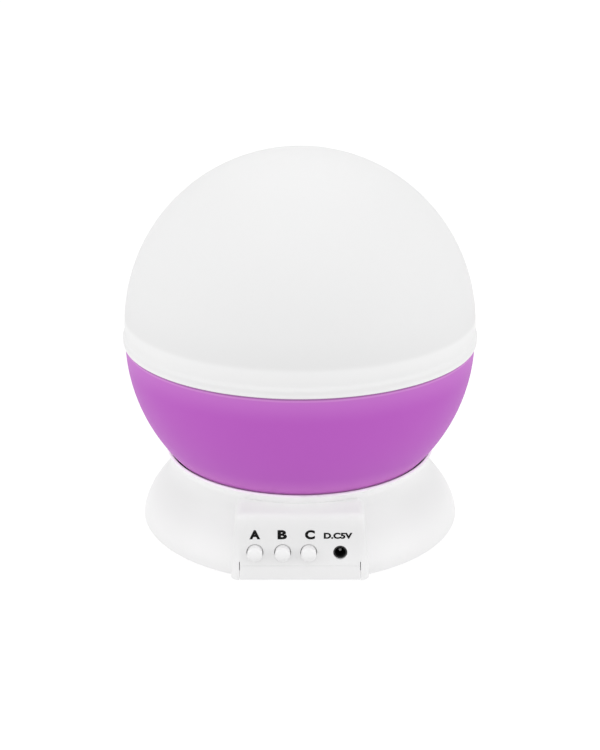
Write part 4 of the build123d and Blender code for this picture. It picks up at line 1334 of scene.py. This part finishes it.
@dataclass(frozen=True)
class Legend:
    """A printed word on the control block's leaning front, with its middle, size and stroke weight."""

    name: str
    text: str
    x: float
    z: float
    height: float
    width: float
    weight: float
    curve_steps: int = 6

    def flat_mesh(self) -> bpy.types.Mesh:
        """Make the word as a flat mesh of its size, round the origin.

        Returns:
            The mesh.
        """
        curve = bpy.data.curves.new(self.name, "FONT")
        curve.body = self.text
        curve.offset = self.weight
        curve.resolution_u = self.curve_steps
        draft = linked(f"{self.name}_draft", curve)
        mesh = evaluated_mesh(draft)
        bpy.data.objects.remove(draft)
        bpy.data.curves.remove(curve)
        low = Vector(min(corner.co[axis] for corner in mesh.vertices) for axis in range(3))
        high = Vector(max(corner.co[axis] for corner in mesh.vertices) for axis in range(3))
        size = high - low
        mesh.transform(Matrix.Translation(-(low + high) / 2))
        mesh.transform(Matrix.Diagonal((self.width * MM / size.x, self.height * MM / size.y, 1, 1)))
        mesh.materials.clear()
        return mesh


@dataclass
class ControlBlock:
    """Buttons, power jack, control board and the printed legends."""

    front_foot: Span = (-57.3, 0.8)
    front_top: Span = (-53.4, 22.8)
    ink_thickness: float = 0.04
    legends: tuple[Legend, ...] = (
        Legend("legend_a", "A", x=-15.0, z=16.35, height=3.15, width=3.6, weight=0.055),
        Legend("legend_b", "B", x=-5.9, z=16.35, height=3.15, width=3.1, weight=0.055),
        Legend("legend_c", "C", x=3.3, z=16.35, height=3.2, width=3.3, weight=0.055),
        Legend("legend_power", "D.C5V", x=12.65, z=16.0, height=2.1, width=9.5, weight=0.05),
    )
    board_screws: ScrewSet = ScrewSet(
        "board_screws",
        ((-17.5, -42.4), (17.5, -42.4)),
        head_radius=1.7,
        head_height=1.2,
        radius=0.9,
    )
    chip: Chip = Chip()
    connector: Connector = Connector()
    capacitor: Capacitor = Capacitor()

    def build(self) -> None:
        """Dress the controls and print the legends."""
        PAINT.dress(PALETTE.button, "button_cap_a", "button_cap_b", "button_cap_c")
        PAINT.dress(PALETTE.black, "switch_plunger_a", "switch_plunger_b", "switch_plunger_c")
        PAINT.dress(PALETTE.black, "switch_bodies")
        PAINT.dress(PALETTE.jack, "dc_jack_shell")
        PAINT.dress(PALETTE.shaded_jack_pin, "dc_jack_pin")
        PAINT.dress(PALETTE.board, "control_board")
        self.board_screws.build()
        self.build_components()
        for legend in self.legends:
            self.print_legend(legend)

    def build_components(self) -> None:
        """Make the chip, the connector and the capacitor, as one black and one metal piece."""
        _, board = packed("control_board")
        low = board.z
        bodies = self.chip.body(low), self.connector.body(low), self.capacitor.sleeve(low)
        black = as_mesh("board_parts", *bodies)
        parts = as_piece("board_parts_black", black, PALETTE.black, Body.BASE)
        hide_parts("board_components")
        bare = self.capacitor.lid(), *self.chip.legs(low), *self.connector.pins(low)
        metal = as_mesh("board_metal", *bare)
        as_piece("board_parts_metal", metal, PALETTE.nickel, Body.BASE)

    def lean(self) -> float:
        """Angle of the front face from level, in radians."""
        return atan2(self.front_top[1] - self.front_foot[1], self.front_top[0] - self.front_foot[0])

    def front_y(self, z: float) -> float:
        """Y of the front face at a height, both in millimetres."""
        share = (z - self.front_foot[1]) / (self.front_top[1] - self.front_foot[1])
        return self.front_foot[0] + share * (self.front_top[0] - self.front_foot[0])

    def print_legend(self, legend: Legend) -> None:
        """Make a legend as a thin layer of ink on the front face.

        Args:
            legend: The legend to print.
        """
        mesh = legend.flat_mesh()
        solid = bmesh.new()
        solid.from_mesh(mesh)
        faces = bmesh.ops.extrude_face_region(solid, geom=solid.faces[:])
        upper = [item for item in faces["geom"] if isinstance(item, bmesh.types.BMVert)]
        bmesh.ops.translate(solid, verts=upper, vec=(0, 0, self.ink_thickness * MM))
        bmesh.ops.recalc_face_normals(solid, faces=solid.faces[:])
        solid.to_mesh(mesh)
        solid.free()
        mesh.transform(Matrix.Rotation(self.lean(), 4, "X"))
        mesh.transform(at(legend.x, self.front_y(legend.z), legend.z))
        as_piece(legend.name, mesh, PALETTE.ink, Body.BASE)


class Lamp(Enum):
    """The four lights with their lens colours."""

    WARM = (1.0, 0.93, 0.72)
    RED = (1.0, 0.25, 0.22)
    GREEN = (0.3, 0.95, 0.4)
    BLUE = (0.3, 0.45, 1.0)


@dataclass
class LightHead:
    """The board on the column with its four lights. Places inside a light are from its axis and foot."""

    board_screws: ScrewSet = ScrewSet(
        "led_board_screws",
        ((-4, 0), (4, 0)),
        head_radius=1.4,
        head_height=1.0,
        radius=0.7,
    )
    circle: float = 8.0
    lens_roughness: float = 0.08
    cup_radii: Span = (0.5, 0.95)
    cup_heights: Span = (2.9, 3.7)
    cup_wall: float = 0.12
    cup_floor: float = 0.15
    cup_floor_inset: float = 0.05
    cup_shift: float = -0.35
    anvil_x: Span = (-1.52, 0.25)
    anvil_z: Span = (1.7, 2.93)
    post_x: Span = (0.55, 1.52)
    post_z: Span = (1.7, 3.6)
    leg_x: Span = (-1.27, 1.27)
    leg_z: Span = (0.05, 1.8)
    leg_half: float = 0.25
    chip_half: float = 0.17
    chip_z: Span = (3.02, 3.22)
    cup_sides: int = 32
    frame_edge: float = 0.08
    leg_edge: float = 0.05
    chip_edge: float = 0.03

    def build(self) -> None:
        """Dress the board and the lenses, and put the metal frames and chips in the lenses."""
        PAINT.dress(PALETTE.board, "led_board")
        self.board_screws.build()
        PAINT.dress(PALETTE.red_sleeve, "led_leads")
        self.build_cores()
        for lamp in Lamp:
            name = lamp.name.lower()
            PAINT.dress(ClearPlastic(f"Lens {name}", lamp.value, self.lens_roughness), f"led_{name}")

    def cup(self) -> Solid:
        """Make the small cup that holds the light chip.

        Returns:
            The closed mesh.
        """
        (narrow, wide), (low, high) = self.cup_radii, self.cup_heights
        floor = low + self.cup_floor
        outline = [(0, low), (narrow, low), (wide, high), (wide - self.cup_wall, high)]
        outline += [(narrow - self.cup_floor_inset, floor), (0, floor)]
        return moved(turned(outline, self.cup_sides), at(self.cup_shift, 0))

    def build_cores(self) -> None:
        """Make each lens's metal frame, of two legs, an anvil with a cup and a post, and the chip in it."""
        flat = span(0.0, self.leg_half)
        parts = [self.cup(), block(self.anvil_x, flat, self.anvil_z, self.frame_edge)]
        parts.append(block(self.post_x, flat, self.post_z, self.frame_edge))
        parts += [block(span(x, self.leg_half), flat, self.leg_z, self.leg_edge) for x in self.leg_x]
        half = self.chip_half
        chip = block(span(self.cup_shift, half), span(0.0, half), self.chip_z, self.chip_edge)
        _, board = packed("led_board")
        places = [at(x, y, board.z) for x, y in ring_places(self.circle, len(Lamp), first=45.0)]
        metal = repeated(as_mesh("led_frames", *parts), places)
        as_piece("led_frames", metal, PALETTE.nickel, Body.BASE)
        chips = repeated(as_mesh("led_chips", chip), places)
        as_piece("led_chips", chips, PALETTE.chip, Body.BASE)


@dataclass
class Drive:
    """Motor and gears."""

    def build(self) -> None:
        """Dress the motor and the gears."""
        PAINT.dress(PALETTE.can, "motor_can")
        PAINT.dress(PALETTE.black, "motor_end_cap")
        PAINT.dress(PALETTE.steel, "motor_shaft", "first_axle", "second_axle")
        PAINT.dress(PALETTE.brass, "motor_pinion")
        PAINT.dress(PALETTE.nylon, "first_gear", "second_gear")
        PAINT.dress(PALETTE.red_sleeve, "motor_leads")


@dataclass
class PowerPack:
    """Battery cells, contacts and their wires.

    Outlines are points of (radius, height). The heights of the tails and the lining are over a cell's flat
    end, those of the shoulder, the pole and the band's end over its other end without the pole.
    """

    cell_count: int = 4
    cell_radius: float = 5.25
    cell_length: float = 43.7
    band_start: float = 33.5
    wrap: float = 0.3
    can_corner: float = 0.5
    tail: Outline = ((0.0, 0.12), (3.4, 0.12), (3.6, 0.02), (4.5, 0.02))
    shoulder: Outline = ((4.4, -0.15), (3.3, -0.15), (3.0, -0.4))
    pole: Outline = ((2.2, -0.4), (1.9, -0.2), (1.9, 0.55), (1.65, 0.8), (0.0, 0.8))
    sleeve_tail: Outline = ((4.45, 0.0), (5.0, 0.0), (5.25, 0.3))
    sleeve_lining: Outline = ((4.95, 0.35), (4.45, 0.12))
    band_end: Outline = ((5.25, -0.35), (4.95, 0.0), (4.3, 0.0), (4.3, -0.15), (4.95, -0.4))

    def build(self) -> None:
        """Dress the contacts and make the cells."""
        self.build_cells()
        PAINT.dress(PALETTE.nickel, "battery_contacts", "battery_springs")
        PAINT.dress(PALETTE.red_sleeve, "battery_leads")

    def cell_places(self) -> list[Matrix]:
        """Places of the cells, poles alternating, for a cell that stands on its flat end along Z.

        Returns:
            The places.
        """
        low, high = packed("aaa_cells")
        first, last = low.y + self.cell_radius, high.y - self.cell_radius
        shoulder = high.x - self.pole[-1][1]
        places = []
        for number in range(self.cell_count):
            way = 1 if number % 2 == 0 else -1
            y = first + (last - first) * number / (self.cell_count - 1)
            foot = at(way * (shoulder - self.cell_length), y, (low.z + high.z) / 2)
            places.append(foot @ Matrix.Rotation(way * pi / 2, 4, "Y"))
        return places

    def build_cells(self) -> None:
        """Make the cells: a steel can with its pole, a sleeve and a paler band at the pole."""
        wide, long, split = self.cell_radius, self.cell_length, self.band_start
        inside, corner = wide - self.wrap, self.can_corner
        walls = [(inside, corner), (inside, long - corner)]
        can = turned([*self.tail, *walls, *raised(self.shoulder + self.pole, long)])
        sleeve = [*self.sleeve_tail, (wide, split), (inside, split), *self.sleeve_lining]
        band = [(inside, split), (wide, split), *raised(self.band_end, long)]
        places = self.cell_places()
        mesh = repeated(as_mesh("cell_cans", can), places)
        cans = as_piece("cell_cans", mesh, PALETTE.can, Body.BASE)
        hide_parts("aaa_cells")
        for name, outline, finish in (
            ("cell_sleeves", sleeve, PALETTE.sleeve),
            ("cell_bands", band, PALETTE.band),
        ):
            mesh = repeated(as_mesh(name, turned(outline, ring=True)), places)
            as_piece(name, mesh, finish, Body.BASE)


# ---------------------------------------------------------------- studio


@dataclass(frozen=True)
class SoftLamp:
    """A square soft lamp that looks at the object. Its place and width are in metres, its power in watts."""

    name: str
    place: Point
    width: float
    power: float


def seen_white(graph: Graph) -> Socket:
    """Value that is 1 for what the camera, gloss and clear plastic see, else 0.

    Args:
        graph: The graph of a material or of the world.

    Returns:
        The value's socket.
    """
    path = graph.node("ShaderNodeLightPath").outputs
    seen = graph.maths("MAXIMUM", path["Is Camera Ray"], path["Is Glossy Ray"])
    return graph.maths("MAXIMUM", seen, path["Is Transmission Ray"])


@dataclass
class Studio:
    """Pale floor, soft lamps and the camera. Places are in metres, the lens and its sensor in millimetres."""

    floor_half: float = 6.0
    floor_albedo: float = 0.88
    floor_white: float = 0.85
    floor_glow: float = 1.12
    sky: float = 0.74
    target: Point = (0.0, 0.0, 0.065)
    camera_place: Point = (0.0, -0.43817, 0.2183)
    lens: float = 62.0
    sensor: float = 36.0
    shift: float = -0.0438
    near: float = 0.01
    lamps: tuple[SoftLamp, ...] = (
        SoftLamp("Lamp overhead", (0.0, -0.1, 1.1), width=1.2, power=2.6),
        SoftLamp("Lamp left", (-1.05, -0.45, 0.5), width=0.9, power=3.2),
        SoftLamp("Lamp right", (1.05, -0.45, 0.5), width=0.9, power=3.2),
    )

    def build(self) -> None:
        """Set the floor, the sky, the lamps and the camera."""
        self.lay_floor()
        self.light_sky()
        for lamp in self.lamps:
            self.hang(lamp)
        self.place_camera()
        bpy.context.scene.view_settings.view_transform = "Standard"

    def aim(self, thing: bpy.types.Object, place: Point) -> None:
        """Put a lamp or camera in its place, looking at the object's middle."""
        thing.location = place
        thing.rotation_euler = (Vector(self.target) - Vector(place)).to_track_quat("-Z", "Y").to_euler()

    def lay_floor(self) -> None:
        """Lay a floor that looks white and keeps a soft shadow."""
        mesh = bpy.data.meshes.new("Floor")
        half = self.floor_half
        corners = [(-half, -half, 0), (half, -half, 0), (half, half, 0), (-half, half, 0)]
        mesh.from_pydata(corners, [], [(0, 1, 2, 3)])
        floor = linked("Floor", mesh)
        material, graph, output = new_material("Studio floor")
        lit = graph.node("ShaderNodeBsdfDiffuse", {"Color": solid_colour(grey(self.floor_albedo))})
        white = {"Color": solid_colour(grey(1.0)), "Strength": self.floor_glow}
        glow = graph.node("ShaderNodeEmission", white)
        share = graph.maths("MULTIPLY", seen_white(graph), self.floor_white)
        mixed = graph.node("ShaderNodeMixShader", {0: share, 1: lit.outputs[0], 2: glow.outputs[0]})
        graph.join(mixed.outputs[0], output.inputs["Surface"])
        mesh.materials.append(material)

    def light_sky(self) -> None:
        """Light the scene evenly from all round, and show white behind the object."""
        world = bpy.data.worlds.new("Studio sky")
        world.use_nodes = True
        world.node_tree.nodes.clear()
        graph = Graph(world.node_tree)
        output = graph.node("ShaderNodeOutputWorld")
        seen = seen_white(graph)
        rest = graph.maths("MULTIPLY", graph.maths("SUBTRACT", 1.0, seen), self.sky)
        white = {"Color": solid_colour(grey(1.0)), "Strength": graph.maths("ADD", seen, rest)}
        graph.join(graph.node("ShaderNodeBackground", white).outputs[0], output.inputs["Surface"])
        bpy.context.scene.world = world

    def hang(self, lamp: SoftLamp) -> None:
        """Hang a soft lamp.

        Args:
            lamp: The lamp to hang.
        """
        data = bpy.data.lights.new(lamp.name, "AREA")
        data.shape = "SQUARE"
        data.size = lamp.width
        data.energy = lamp.power
        self.aim(linked(lamp.name, data), lamp.place)

    def place_camera(self) -> None:
        """Place the camera a little above the object, in front of it."""
        data = bpy.data.cameras.new("Camera")
        data.sensor_fit = "VERTICAL"
        data.sensor_height = self.sensor
        data.lens = self.lens
        data.shift_y = self.shift
        data.clip_start = self.near
        camera = linked("Camera", data)
        self.aim(camera, self.camera_place)
        bpy.context.scene.camera = camera


def main() -> None:
    """Build every sub-assembly and the studio."""
    logging.basicConfig(level=logging.INFO, format="%(message)s")
    for assembly in (Ball(), BaseShell(), ControlBlock(), LightHead(), Drive(), PowerPack(), Studio()):
        assembly.build()


if __name__ == "__main__":
    main()
